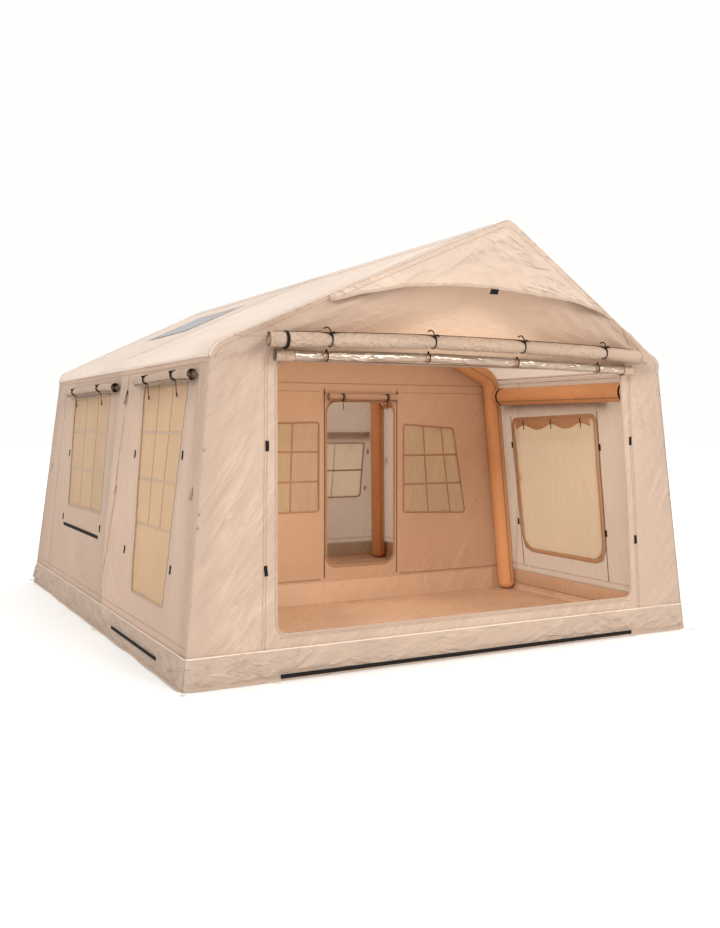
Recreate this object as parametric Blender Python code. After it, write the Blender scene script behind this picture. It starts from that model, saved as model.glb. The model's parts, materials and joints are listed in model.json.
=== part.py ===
"""Two-room inflatable tent: three air-beam arches tied by ridge and eave beams, a fabric
shell of separate panels, roll-up door and window covers, skylights, partition and tub floor.
Units are metres, +Z is up, the open doorway faces -Y and the floor rests on z = 0."""

import math

import bmesh
import bpy
import numpy as np
from mathutils import Vector
from mathutils.geometry import tessellate_polygon

# ---------------------------------------------------------------- driving dimensions
HALF_W = 1.88            # base half width, outside of the side walls
HALF_L = 2.25            # base half length, outside of the end walls
SIDE_LEAN = 0.1036       # inward lean of the side walls, x per z
FRONT_LEAN = 0.0466      # inward lean of the front wall, y per z
REAR_LEAN = 0.171        # inward lean of the rear wall, y per z
RIDGE_Z = 2.70           # outside of the roof at the ridge
PITCH = 0.4583           # roof fall, z per x
EAVE_R = 0.12            # outside radius of the roof where it turns down at the eave
CLOTH = 0.004            # shell panel thickness
BEAM_R = 0.075           # air beam radius
BEAM_IN = 0.085          # shell outside face to air beam centre
MID_Y = -0.23            # middle arch
FRONT_APEX_Y = -2.55     # arch centre line at the ridge
REAR_APEX_Y = 2.579
ROOF_SAG = 0.003         # the cloth sinks this far between two arches
HEM_DROP = 0.018         # the rear hem's lower end hangs below the eave seam
BEND_R = 0.15            # centre line bend radius of the arches
PART_Y = -0.15           # front face of the partition
SEAM_Z = 1.848           # top edge of the front wall, where the gable begins
REAR_SEAM_Z = 1.830      # top edge of the rear wall
GABLE_OUT = 0.083        # rafter centre plane to the outside of a gable
SKIRT_TOP = 0.185
SKIRT_OUT = 0.006
BASE_Z = 0.012           # lower edge of the wall panels
SKIRT_BASE = 0.001
FLOOR_T = 0.004
EAVE_BEAM_Z = 1.72

DOOR_X = (-1.275, 1.325, 1.385, -1.310)      # top left, top right, bottom right, bottom left
DOOR_Z = (0.27, 1.835)
DOOR_CORNER = 0.055

WIN_TALL = ((-1.828, 1.735), (-0.905, 1.735), (-1.04, 0.393), (-1.723, 0.390))
WIN_REAR = ((0.0, 1.700), (1.20, 1.683), (1.089, 0.808), (-0.02, 0.822))
WIN_RIGHT = ((-1.45, 1.530), (-0.42, 1.500), (-0.45, 0.400), (-1.45, 0.400))
WIN_REAR_R = ((0.0, 1.700), (1.20, 1.683), (1.11, 0.808), (0.0, 0.822))
WIN_BACK = ((0.50, 1.27), (1.535, 1.27), (1.535, 0.70), (0.50, 0.70))
SKY_LEFT = (-0.95, -0.45, 0.50, 1.60)
SKY_RIGHT = (0.45, 1.00, -1.55, -0.65)

PDOOR = (0.030, 0.655, 0.310, 1.665)
PDOOR_CORNER = 0.09
PWIN_L = ((-0.660, 1.480), (-0.052, 1.491), (-0.052, 0.775), (-0.720, 0.775))
PWIN_R = ((0.763, 1.474), (1.251, 1.439), (1.376, 0.712), (0.764, 0.737))
SCREEN_LAP = 0.015
SCREEN_T = 0.0015

DOOR_ROLL = dict(z=1.965, y=-2.326, x0=-1.400, x1=1.420, r=0.048)
FILM_ROLL = dict(z=1.870, y=-2.238, x0=-1.320, x1=1.360, r=0.036)


# ---------------------------------------------------------------- scene start
def clear_scene():
    for obj in list(bpy.data.objects):
        bpy.data.objects.remove(obj, do_unlink=True)
    for mesh in list(bpy.data.meshes):
        bpy.data.meshes.remove(mesh)


def material(name, rgb, rough=0.85, alpha=1.0, metallic=0.0):
    mat = bpy.data.materials.new(name)
    mat.use_nodes = True
    node = mat.node_tree.nodes["Principled BSDF"]
    node.inputs["Base Color"].default_value = (*rgb, 1.0)
    node.inputs["Roughness"].default_value = rough
    node.inputs["Metallic"].default_value = metallic
    node.inputs["Alpha"].default_value = alpha
    mat.diffuse_color = (*rgb, alpha)
    return mat


# ---------------------------------------------------------------- mesh helpers
def add_mesh(name, verts, faces, mat, origin=(0.0, 0.0, 0.0), smooth=None):
    origin = Vector(origin)
    mesh = bpy.data.meshes.new(name)
    mesh.from_pydata([tuple(Vector(v) - origin) for v in verts], [], faces)
    mesh.validate(verbose=False)
    bm = bmesh.new()
    bm.from_mesh(mesh)
    bmesh.ops.remove_doubles(bm, verts=bm.verts, dist=0.00002)
    bmesh.ops.recalc_face_normals(bm, faces=bm.faces)
    volume = bm.calc_volume(signed=True)
    if volume < 0:
        bmesh.ops.reverse_faces(bm, faces=bm.faces)
    bm.to_mesh(mesh)
    bm.free()
    if smooth is not None:
        mesh.shade_smooth()
        mesh.set_sharp_from_angle(angle=math.radians(smooth))
    mesh.materials.append(mat)
    obj = bpy.data.objects.new(name, mesh)
    obj.location = origin
    bpy.context.scene.collection.objects.link(obj)
    return obj


def centre_of(verts):
    pts = np.array([tuple(v) for v in verts])
    return tuple((pts.min(axis=0) + pts.max(axis=0)) / 2)


def grid_sheet(name, pts, nrm, thick, mat, holes=(), smooth=40):
    """A sheet with a thickness: pts[i][j] on the outer face, nrm[i][j] outward, holes are cells (i, j)."""
    rows, cols = len(pts), len(pts[0])
    verts = []
    for i in range(rows):
        for j in range(cols):
            verts.append(Vector(pts[i][j]))
    base = len(verts)
    for i in range(rows):
        for j in range(cols):
            verts.append(Vector(pts[i][j]) - Vector(nrm[i][j]).normalized() * thick)
    cells = [
        (i, j)
        for i in range(rows - 1)
        for j in range(cols - 1)
        if (i, j) not in holes
    ]
    edges = {}
    faces = []
    for i, j in cells:
        a, b = i * cols + j, i * cols + j + 1
        c, d = (i + 1) * cols + j + 1, (i + 1) * cols + j
        quad = (a, b, c, d)
        for tri in ((a, b, c), (a, c, d)):
            faces.append(tri)
            faces.append(tuple(base + k for k in reversed(tri)))
        for p, q in zip(quad, quad[1:] + quad[:1]):
            edges[(p, q)] = edges.get((p, q), 0) + 1
    for p, q in edges:
        if (q, p) not in edges:
            faces.append((q, p, base + p, base + q))
    return add_mesh(name, verts, faces, mat, centre_of(verts), smooth)


def round_corners(points, radius, steps=5):
    """The closed 2-D outline with each corner rounded."""
    out = []
    count = len(points)
    for k in range(count):
        p = np.array(points[k], float)
        a = np.array(points[k - 1], float) - p
        b = np.array(points[(k + 1) % count], float) - p
        a /= np.linalg.norm(a)
        b /= np.linalg.norm(b)
        half = math.acos(max(-1.0, min(1.0, float(a @ b)))) / 2
        back = radius / math.tan(half)
        mid = (a + b) / np.linalg.norm(a + b)
        centre = p + mid * (radius / math.sin(half))
        start, end = p + a * back, p + b * back
        u, v = start - centre, end - centre
        turn = math.atan2(u[0] * v[1] - u[1] * v[0], float(u @ v))
        for s in range(steps + 1):
            t = turn * s / steps
            c, sn = math.cos(t), math.sin(t)
            out.append(
                (
                    centre[0] + u[0] * c - u[1] * sn,
                    centre[1] + u[0] * sn + u[1] * c,
                )
            )
    return out


def area_sign(loop):
    total = 0.0
    for (x0, y0), (x1, y1) in zip(loop, loop[1:] + loop[:1]):
        total += x0 * y1 - x1 * y0
    return total


def flat_panel(name, outline, holes, place, normal, thick, mat):
    """A flat sheet cut to a 2-D outline; place maps (u, v) to the outer face, normal points outward."""
    loops = [list(outline)] + [list(h) for h in holes]
    loops[0] = loops[0] if area_sign(loops[0]) > 0 else loops[0][::-1]
    loops[1:] = [h if area_sign(h) < 0 else h[::-1] for h in loops[1:]]
    flat = [p for loop in loops for p in loop]
    tris = tessellate_polygon([[Vector((u, v, 0.0)) for u, v in loop] for loop in loops])
    inward = -Vector(normal).normalized() * thick
    verts = [Vector(place(u, v)) for u, v in flat]
    base = len(verts)
    verts += [v + inward for v in verts]
    faces = []
    for a, b, c in tris:
        (ax, ay), (bx, by), (cx, cy) = flat[a], flat[b], flat[c]
        if (bx - ax) * (cy - ay) - (cx - ax) * (by - ay) < 0:
            b, c = c, b
        faces.append((a, b, c))
        faces.append((base + a, base + c, base + b))
    start = 0
    for loop in loops:
        size = len(loop)
        for k in range(size):
            p, q = start + k, start + (k + 1) % size
            faces.append((q, p, base + p, base + q))
        start += size
    return add_mesh(name, verts, faces, mat, centre_of(verts))


def fillet_path(points, radius, steps=7):
    """A 3-D polyline with each inner corner replaced by an arc."""
    pts = [np.array(p, float) for p in points]
    out = [pts[0]]
    for before, p, after in zip(pts, pts[1:], pts[2:]):
        a = (before - p) / np.linalg.norm(before - p)
        b = (after - p) / np.linalg.norm(after - p)
        half = math.acos(float(a @ b)) / 2
        back = radius / math.tan(half)
        mid = (a + b) / np.linalg.norm(a + b)
        centre = p + mid * radius / math.sin(half)
        u = (p + a * back - centre) / radius
        w = mid * -1.0
        v = w - u * float(w @ u)
        v /= np.linalg.norm(v)
        sweep = math.pi - 2 * half
        for s in range(steps + 1):
            t = sweep * s / steps
            out.append(centre + radius * (u * math.cos(t) + v * math.sin(t)))
    out.append(pts[-1])
    return out


def tube(name, path, radius, mat, sides=16):
    """A round closed tube along a path, with flat ends."""
    pts = [np.array(p, float) for p in path]
    tangents = []
    for k in range(len(pts)):
        a, b = pts[max(k - 1, 0)], pts[min(k + 1, len(pts) - 1)]
        tangents.append((b - a) / np.linalg.norm(b - a))
    ref = np.cross(tangents[0], (0.0, 1.0, 0.0))
    if np.linalg.norm(ref) < 0.2:
        ref = np.cross(tangents[0], (1.0, 0.0, 0.0))
    ref /= np.linalg.norm(ref)
    verts, faces = [], []
    for k, (p, t) in enumerate(zip(pts, tangents)):
        ref = ref - t * float(ref @ t)
        ref /= np.linalg.norm(ref)
        other = np.cross(t, ref)
        for s in range(sides):
            angle = 2 * math.pi * s / sides
            verts.append(
                tuple(p + radius * (ref * math.cos(angle) + other * math.sin(angle)))
            )
    for k in range(len(pts) - 1):
        for s in range(sides):
            a, b = k * sides + s, k * sides + (s + 1) % sides
            faces.append((a, b, b + sides, a + sides))
    faces.append(tuple(range(sides - 1, -1, -1)))
    faces.append(tuple((len(pts) - 1) * sides + s for s in range(sides)))
    return add_mesh(name, verts, faces, mat, centre_of(verts), 50)


def roll(name, start, end, radius, mat, ties, sides=20):
    """A rolled-up cover: a round bundle, drawn in at each tie, with a hollow at both ends."""
    a, b = np.array(start, float), np.array(end, float)
    length = np.linalg.norm(b - a)
    axis = (b - a) / length
    side = np.cross(axis, (0.0, 0.0, 1.0))
    side /= np.linalg.norm(side)
    other = np.cross(side, axis)
    stations = [(0.012, 0.35), (0.012, 0.36), (0.0, 0.52), (0.0, 0.94), (0.006, 1.0)]
    for tie in ties:
        stations += [(tie - 0.06, 0.99), (tie - 0.012, 0.88), (tie + 0.012, 0.88), (tie + 0.06, 0.99)]
    stations += [(length - 0.006, 1.0), (length, 0.94), (length, 0.52), (length - 0.012, 0.36)]
    stations = stations[1:]
    verts, faces = [], []
    for along, share in stations:
        for s in range(sides):
            t = 2 * math.pi * s / sides
            verts.append(
                tuple(a + axis * along + radius * share * (side * math.cos(t) + other * math.sin(t)))
            )
    for k in range(len(stations) - 1):
        for s in range(sides):
            p, q = k * sides + s, k * sides + (s + 1) % sides
            faces.append((p, q, q + sides, p + sides))
    faces.append(tuple(range(sides - 1, -1, -1)))
    faces.append(tuple((len(stations) - 1) * sides + s for s in range(sides)))
    return add_mesh(name, verts, faces, mat, tuple((a + b) / 2), 35)


def box(name, low, high, mat, bevel=0.0):
    (x0, y0, z0), (x1, y1, z1) = low, high
    verts = [(x, y, z) for x in (x0, x1) for y in (y0, y1) for z in (z0, z1)]
    faces = [(0, 1, 3, 2), (4, 6, 7, 5), (0, 4, 5, 1), (2, 3, 7, 6), (0, 2, 6, 4), (1, 5, 7, 3)]
    obj = add_mesh(name, verts, faces, mat, centre_of(verts))
    if bevel:
        mod = obj.modifiers.new("round", "BEVEL")
        mod.width = bevel
        mod.segments = 2
    return obj


# ---------------------------------------------------------------- planes of the shell
SIDE_N = (math.cos(math.atan(SIDE_LEAN)), 0.0, math.sin(math.atan(SIDE_LEAN)))
ROOF_N = (math.sin(math.atan(PITCH)), 0.0, math.cos(math.atan(PITCH)))


def side_x(z):
    return HALF_W - SIDE_LEAN * z


def front_y(z):
    return -HALF_L + FRONT_LEAN * z


def rear_y(z):
    return HALF_L - REAR_LEAN * z


def post_x(z):
    return side_x(z) - BEAM_IN * math.hypot(1.0, SIDE_LEAN)


def front_post_y(z):
    return front_y(z) + BEAM_IN * math.hypot(1.0, FRONT_LEAN)


def rear_post_y(z):
    return rear_y(z) - BEAM_IN * math.hypot(1.0, REAR_LEAN)


APEX_Z = RIDGE_Z - BEAM_IN * math.hypot(1.0, PITCH)
_p0 = HALF_W - BEAM_IN * math.hypot(1.0, SIDE_LEAN)
KNEE_Z = (APEX_Z - PITCH * _p0) / (1.0 - PITCH * SIDE_LEAN)
KNEE_X = _p0 - SIDE_LEAN * KNEE_Z


def arch_points(post_y, apex_y):
    low = 0.020
    return [
        (-post_x(low), post_y(low), low),
        (-KNEE_X, post_y(KNEE_Z), KNEE_Z),
        (0.0, apex_y, APEX_Z),
        (KNEE_X, post_y(KNEE_Z), KNEE_Z),
        (post_x(low), post_y(low), low),
    ]


def hem_line(post_y, apex_y, end):
    """For one end (-1 front, +1 rear): rafter apex, rafter direction, forward normal, in the right half."""
    apex = np.array((0.0, apex_y, APEX_Z))
    knee = np.array((KNEE_X, post_y(KNEE_Z), KNEE_Z))
    run = knee - apex
    d = run / np.linalg.norm(run)
    n = np.array(ROOF_N)
    f = np.cross(d, n)
    if f[1] * end < 0:
        f = -f
    return apex, run, n, f / np.linalg.norm(f)


FRONT_HEM = hem_line(front_post_y, FRONT_APEX_Y, -1)
REAR_HEM = hem_line(rear_post_y, REAR_APEX_Y, 1)


def rafter_plane(hem, out):
    """(y, z, slope) of the flat plane at a distance in front of both rafter centre lines."""
    apex, run, n, f = hem
    slope = run[1] / run[2]
    normal = np.array((0.0, 1.0, -slope))
    normal *= math.copysign(1.0, f[1]) / np.linalg.norm(normal)
    at = apex + normal * out
    return at[1], at[2], slope


def rafter_gap(hem, x, z, out):
    """In-plane distance inward from the rafter's centre line of a point seen at (x, z) on that plane."""
    apex, run, n, f = hem
    y0, z0, slope = rafter_plane(hem, out)
    stretch = math.hypot(1.0, slope)
    down = abs(run[2]) * stretch
    return ((z0 - z) * stretch * run[0] - abs(x) * down) / math.hypot(run[0], down)


def gable_half_width(hem, z, inset, out):
    """x where the in-plane distance from the rafter's centre line is inset."""
    apex, run, n, f = hem
    y0, z0, slope = rafter_plane(hem, out)
    stretch = math.hypot(1.0, slope)
    down = abs(run[2]) * stretch
    return ((z0 - z) * stretch * run[0] - inset * math.hypot(run[0], down)) / down


# ---------------------------------------------------------------- roof
def roof_panel(name, side, skylight, mat):
    """One roof slope: turned down over the eave beam and rolled round the end rafters."""
    corner = np.array((1.68, 0.0, 1.93))
    down = np.array((math.sin(math.atan(SIDE_LEAN)), 0.0, -math.cos(math.atan(SIDE_LEAN))))
    up = np.array((-math.cos(math.atan(PITCH)), 0.0, math.sin(math.atan(PITCH))))
    half = math.acos(float(down @ up)) / 2
    back = EAVE_R / math.tan(half)
    mid = (down + up) / np.linalg.norm(down + up)
    centre = corner + mid * EAVE_R / math.sin(half)
    stations = []  # (kind, value)
    x_low = (corner + up * back)[0]
    sky = [] if skylight is None else sorted(abs(v) for v in skylight[:2])
    xs = sorted({0.0005, 0.20, 1.30, x_low, *sky})
    arc = 5
    phis = [math.radians(a) for a in (90, 66, 44, 22)]
    ys = [-1.9, -0.6, 0.4, 1.75]
    if skylight is not None:
        ys = sorted({-1.9, 0.3 if side > 0 else -0.8, 1.80, *skylight[2:]})
    sag_y = 0.3 if side > 0 else -0.8
    pts, nrm = [], []
    flat_n = np.array(ROOF_N)
    wall_n = np.array(SIDE_N)
    for k in range(len(xs) + arc):
        row, rown = [], []
        if k < len(xs):
            base_x = xs[k]
            n_here = flat_n
            share = None
        else:
            t = (k - len(xs) + 1) / arc
            a0 = math.atan2(flat_n[2], flat_n[0])
            a1 = math.atan2(wall_n[2], wall_n[0])
            ang = a0 + (a1 - a0) * t
            n_here = np.array((math.cos(ang), 0.0, math.sin(ang)))
            surf = centre + n_here * EAVE_R
            share = t

        def end_point(hem, post_y, phi):
            apex, run, n, f = hem
            if share is None:
                off = n * math.cos(phi) + f * math.sin(phi)
                square = n if base_x == x_low else off
                s = (base_x - apex[0] - BEAM_IN * square[0]) / run[0]
                return apex + run * s + BEAM_IN * off, off
            zc = surf[2] - BEAM_IN * n_here[2]
            lean = FRONT_LEAN if f[1] < 0 else -REAR_LEAN
            wall_f = np.array((0.0, math.copysign(1.0, f[1]), abs(lean)))
            wall_f /= np.linalg.norm(wall_f)
            g = f * (1 - share) + wall_f * share
            g -= n_here * float(g @ n_here)
            g /= np.linalg.norm(g)
            off = n_here * math.cos(phi) + g * math.sin(phi)
            low_s = (x_low - apex[0] - BEAM_IN * n[0]) / run[0]
            y_rafter = (apex + run * low_s)[1]
            y_here = y_rafter + (post_y(zc) - y_rafter) * share
            c = np.array((surf[0], y_here, surf[2])) - BEAM_IN * n_here
            reach = BEAM_IN + 0.005 * math.sin(phi) * min(1.0, 2.0 * share)
            return c + n_here * (BEAM_IN - reach) * math.cos(phi) + reach * off, off

        for phi in phis:
            p, n = end_point(FRONT_HEM, front_post_y, phi)
            row.append(p)
            rown.append(n)
        f0, _ = end_point(FRONT_HEM, front_post_y, 0.0)
        r0, _ = end_point(REAR_HEM, rear_post_y, 0.0)
        row.append(f0)
        rown.append(n_here)
        for y in ys:
            sag = ROOF_SAG if abs(xs[min(k, len(xs) - 1)] - 1.30) < 1e-6 and y == sag_y else 0.0
            row.append(np.array((f0[0], y, f0[2])) - n_here * sag)
            rown.append(n_here)
        row.append(r0)
        rown.append(n_here)
        for phi in reversed(phis):
            p, n = end_point(REAR_HEM, rear_post_y, phi)
            row.append(p)
            rown.append(n)
        if k == 0:
            rown = [np.array((0.0, n[1], n[2])) for n in rown]
        pts.append(row)
        nrm.append(rown)
    flat_end, last = len(xs) - 1, len(pts) - 1
    pts[last][-1] = pts[last][-1] - np.array((0.0, 0.0, HEM_DROP))
    for k in range(flat_end + 1, last):
        t = (k - flat_end) / (last - flat_end)
        for j in (0, -1):
            bow = np.array((0.038 * t * (1 - t) ** 5, 0.0, 0.0)) if j else 0.0
            pts[k][j] = pts[flat_end][j] * (1 - t) + pts[last][j] * t + bow
            nrm[k][j] = nrm[flat_end][j] * (1 - t) + nrm[last][j] * t
    holes = set()
    if skylight is not None:
        y0, y1 = skylight[2:]
        j = len(phis) + 1 + ys.index(y0)
        i0, i1 = xs.index(sky[0]), xs.index(sky[1])
        for i in range(i0, i1):
            for c in range(ys.index(y0), ys.index(y1)):
                holes.add((i, len(phis) + 1 + c))
    if side < 0:
        pts = [[p * np.array((-1, 1, 1)) for p in r] for r in pts]
        nrm = [[n * np.array((-1, 1, 1)) for n in r] for r in nrm]
    return grid_sheet(name, pts, nrm, CLOTH, mat, holes)


def skylight_pane(name, sky, mat):
    """A clear pane lapped under the hole in the roof."""
    x0, x1, y0, y1 = sky
    lap = SCREEN_LAP
    lo, hi = sorted((abs(x0), abs(x1)))
    lo, hi = lo - lap * ROOF_N[2], hi + lap * ROOF_N[2]
    side = math.copysign(1.0, x0 + x1)
    drop = CLOTH + 0.001
    n = Vector((ROOF_N[0] * side, 0.0, ROOF_N[2]))

    def place(u, v):
        return Vector((side * u, v, RIDGE_Z - PITCH * u)) - n * drop

    outline = [(lo, y0 - lap), (hi, y0 - lap), (hi, y1 + lap), (lo, y1 + lap)]
    return flat_panel(name, outline, [], place, n, SCREEN_T, mat)


# ---------------------------------------------------------------- gables
def gable(name, hem, end, wall_y, seam, push_most, mat):
    """The end wall's upper panel: hangs between the rafters' hems and the wall's top edge."""
    y0, z0, slope = rafter_plane(hem, GABLE_OUT)
    edge = -0.036
    top = z0 - 0.012
    zs = [seam + 0.0035, 1.865, 1.90, 1.97, 2.06, 2.17, 2.30, 2.42, 2.50, top]
    clear = BEAM_R + 0.005
    steps = [(edge, 1.0), (0.02, 0.82), (clear, 0.64), (0.17, 0.46), (0.34, 0.30), (0.60, 0.15)]
    pts, nrm = [], []
    for z in zs:
        widest = KNEE_X - 0.002
        half = min(gable_half_width(hem, z, edge, GABLE_OUT), widest)
        lean = y0 + slope * (z - z0)
        wall = wall_y(z) + end * 0.012 * min(1.0, max(0.0, (z - 1.825) / 0.04)) * (end > 0)
        outer = lean if (lean - wall) * end > 0 else wall
        gap = max(0.0, (wall - lean) * -end)
        xs = []
        for inset, share in steps:
            at = gable_half_width(hem, z, inset, GABLE_OUT)
            xs.append(max(min(at, widest - (1.0 - share) * 0.2), half * share))
        xs[0] = half
        row, rown = [], []
        for x in [-v for v in xs] + [0.0] + xs[::-1]:
            q = rafter_gap(hem, x, z, GABLE_OUT)
            push = min(gap, push_most, max(0.0, (q - clear) * 1.1))
            row.append((x, outer - end * push, z))
            rown.append((0.0, end, 0.0))
        pts.append(row)
        nrm.append(rown)
    return grid_sheet(name, pts, nrm, CLOTH, mat, (), 50)


def visor(name, mat):
    """The peaked flap in front of the gable, with an arched lower hem."""
    y0, z0, slope = rafter_plane(FRONT_HEM, GABLE_OUT)
    n = np.array((0.0, -1.0, slope))
    n /= np.linalg.norm(n)
    reach = 1.05
    cols, rows = 21, 5

    def low_z(x):
        return 2.298 - 0.118 * (abs(x) / reach) ** 2.1

    def high_z(x):
        return min(2.625, 2.662 - PITCH * abs(x))

    pts, nrm = [], []
    for r in range(rows):
        v = r / (rows - 1)
        row, rown = [], []
        for c in range(cols):
            x = -reach + 2 * reach * c / (cols - 1)
            z = low_z(x) + (max(high_z(x), low_z(x) + 0.004) - low_z(x)) * v
            plane = y0 + slope * (z - z0)
            bulge = 0.095 * (1 - (x / reach) ** 2) * (1 - v) ** 1.5
            out = 0.012
            row.append(np.array((x, plane, z)) + n * out + np.array((0.0, -bulge, 0.0)))
            rown.append(n)
        pts.append(row)
        nrm.append(rown)
    return grid_sheet(name, pts, nrm, CLOTH, mat, (), 50)


# ---------------------------------------------------------------- build
def main():
    clear_scene()
    beam = material("beam_cloth", (0.52, 0.30, 0.17), 0.6)
    roof = material("roof_cloth", (0.79, 0.66, 0.53), 0.85)
    wall = material("wall_cloth", (0.72, 0.56, 0.43), 0.85)
    liner = material("partition_cloth", (0.74, 0.53, 0.38), 0.85)
    floor = material("floor_cloth", (0.56, 0.36, 0.23), 0.7)
    mesh_cloth = material("mesh_window", (0.72, 0.52, 0.30), 0.7, 0.6)
    pane = material("clear_pane", (0.42, 0.43, 0.46), 0.2, 0.5)
    film = material("film_roll", (0.62, 0.60, 0.56), 0.2, 1.0, 0.4)
    rolled = material("rolled_cloth", (0.76, 0.61, 0.47), 0.85)
    black = material("black_webbing", (0.02, 0.02, 0.02), 0.7)
    web = material("pale_webbing", (0.80, 0.74, 0.64), 0.8)
    plastic = material("dark_plastic", (0.05, 0.05, 0.05), 0.4)

    # air beams
    tube("arch_front", fillet_path(arch_points(front_post_y, FRONT_APEX_Y), BEND_R), BEAM_R, beam)
    tube("arch_middle", fillet_path(arch_points(lambda z: MID_Y, MID_Y), BEND_R), BEAM_R, beam)
    tube("arch_rear", fillet_path(arch_points(rear_post_y, REAR_APEX_Y), BEND_R), BEAM_R, beam)
    ridge_z = APEX_Z
    tube("ridge_beam_front", [(0, -2.42, ridge_z), (0, -1.4, ridge_z), (0, MID_Y - 0.080, ridge_z)], BEAM_R, beam)
    tube("ridge_beam_rear", [(0, PART_Y + 0.008, ridge_z), (0, 1.2, ridge_z), (0, 2.42, ridge_z)], BEAM_R, beam)
    eave_x = post_x(EAVE_BEAM_Z)
    front_end = front_post_y(EAVE_BEAM_Z) + BEAM_R + 0.006
    rear_end = rear_post_y(EAVE_BEAM_Z) - BEAM_R - 0.016
    for tag, s in (("left", -1), ("right", 1)):
        tube(f"eave_beam_{tag}_front",
             [(s * eave_x, front_end, EAVE_BEAM_Z), (s * eave_x, -1.2, EAVE_BEAM_Z), (s * eave_x, MID_Y - 0.080, EAVE_BEAM_Z)],
             BEAM_R, beam)
        tube(f"eave_beam_{tag}_rear",
             [(s * eave_x, PART_Y + 0.008, EAVE_BEAM_Z), (s * eave_x, 0.9, EAVE_BEAM_Z), (s * eave_x, rear_end, EAVE_BEAM_Z)],
             BEAM_R, beam)

    # roof slopes and skylights
    roof_panel("roof_left", -1, SKY_LEFT, roof)
    roof_panel("roof_right", 1, SKY_RIGHT, roof)
    skylight_pane("skylight_left", SKY_LEFT, pane)
    skylight_pane("skylight_right", SKY_RIGHT, pane)

    # end walls
    fn = Vector((0.0, -1.0, FRONT_LEAN)).normalized()
    edge = 0.001

    def end_outline(top):
        return [
            (-side_x(BASE_Z) + edge, BASE_Z), (side_x(BASE_Z) - edge, BASE_Z),
            (side_x(top) - edge, top), (-side_x(top) + edge, top),
        ]

    door = round_corners(
        [(DOOR_X[3], DOOR_Z[0]), (DOOR_X[2], DOOR_Z[0]), (DOOR_X[1], DOOR_Z[1]), (DOOR_X[0], DOOR_Z[1])],
        DOOR_CORNER,
    )
    flat_panel("front_wall", end_outline(SEAM_Z), [door], lambda u, v: (u, front_y(v), v), fn, CLOTH, wall)
    gable("front_gable", FRONT_HEM, -1, front_y, SEAM_Z, 0.13, wall)
    visor("front_visor", roof)

    rn = Vector((0.0, 1.0, REAR_LEAN)).normalized()
    flat_panel(
        "rear_wall", end_outline(REAR_SEAM_Z), [round_corners(WIN_BACK, 0.03, 3)],
        lambda u, v: (u, rear_y(v), v), rn, CLOTH, wall,
    )
    gable("rear_gable", REAR_HEM, 1, rear_y, REAR_SEAM_Z, 0.0, wall)

    # side walls
    def side_outline(clear):
        corner_t = EAVE_R / math.tan(math.radians(60.27))
        top = 1.93 - corner_t * SIDE_N[0] - 0.0015
        return [
            (front_y(BASE_Z) + clear, BASE_Z), (rear_y(BASE_Z) - clear, BASE_Z),
            (rear_y(top) - clear, top), (front_y(top) + clear, top),
        ]

    for tag, s, first, second in (
        ("left", -1, WIN_TALL, WIN_REAR), ("right", 1, WIN_RIGHT, WIN_REAR_R),
    ):
        n = Vector((s * SIDE_N[0], 0.0, SIDE_N[2]))
        flat_panel(
            f"{tag}_wall", side_outline(0.007),
            [round_corners(first, 0.045, 4), round_corners(second, 0.03, 3)],
            lambda u, v, s=s: (s * side_x(v), u, v), n, CLOTH, wall,
        )

    # window screens, lapped behind the holes
    def grown(points, lap):
        pts = np.array(points, float)
        mid = pts.mean(axis=0)
        return [tuple(p + np.sign(p - mid) * lap) for p in pts]

    def screen(name, points, place, normal, corner=0.05):
        back = Vector(normal).normalized() * (CLOTH + 0.001)
        return flat_panel(
            name, round_corners(grown(points, SCREEN_LAP), corner, 3), [],
            lambda u, v: Vector(place(u, v)) - back, normal, SCREEN_T, mesh_cloth,
        )

    for tag, s, first, second in (
        ("left", -1, WIN_TALL, WIN_REAR), ("right", 1, WIN_RIGHT, WIN_REAR_R),
    ):
        n = Vector((s * SIDE_N[0], 0.0, SIDE_N[2]))
        place = lambda u, v, s=s: (s * side_x(v), u, v)
        screen(f"window_{tag}_front", first, place, n)
        screen(f"window_{tag}_rear", second, place, n)
    screen("window_rear_wall", WIN_BACK, lambda u, v: (u, rear_y(v), v), rn)

    # partition
    pn = Vector((0.0, -1.0, 0.0))
    clear = CLOTH + 0.003
    low = 0.006

    def roof_under(x):
        return RIDGE_Z - PITCH * abs(x) - clear * math.hypot(1.0, PITCH)

    side_top = 1.86
    x_top = side_x(side_top) - clear * math.hypot(1.0, SIDE_LEAN)
    x_low = side_x(low) - clear * math.hypot(1.0, SIDE_LEAN)
    outline = [(-x_low, low), (x_low, low), (x_top, side_top), (1.60, roof_under(1.62) - 0.012),
               (0.0, roof_under(0.0)), (-1.60, roof_under(1.62) - 0.012), (-x_top, side_top)]
    holes = [
        round_corners([(PDOOR[0], PDOOR[2]), (PDOOR[1], PDOOR[2]), (PDOOR[1], PDOOR[3]), (PDOOR[0], PDOOR[3])], PDOOR_CORNER),
        round_corners(PWIN_L, 0.02, 2), round_corners(PWIN_R, 0.02, 2),
    ]
    flat_panel("partition_wall", outline, holes, lambda u, v: (u, PART_Y, v), pn, CLOTH, liner)
    screen("window_partition_left", PWIN_L, lambda u, v: (u, PART_Y, v), pn, 0.02)
    screen("window_partition_right", PWIN_R, lambda u, v: (u, PART_Y, v), pn, 0.02)
    box("partition_sill", (-1.68, PART_Y - 0.0055, 0.006), (1.68, PART_Y - 0.0015, 0.185), floor)

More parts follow.
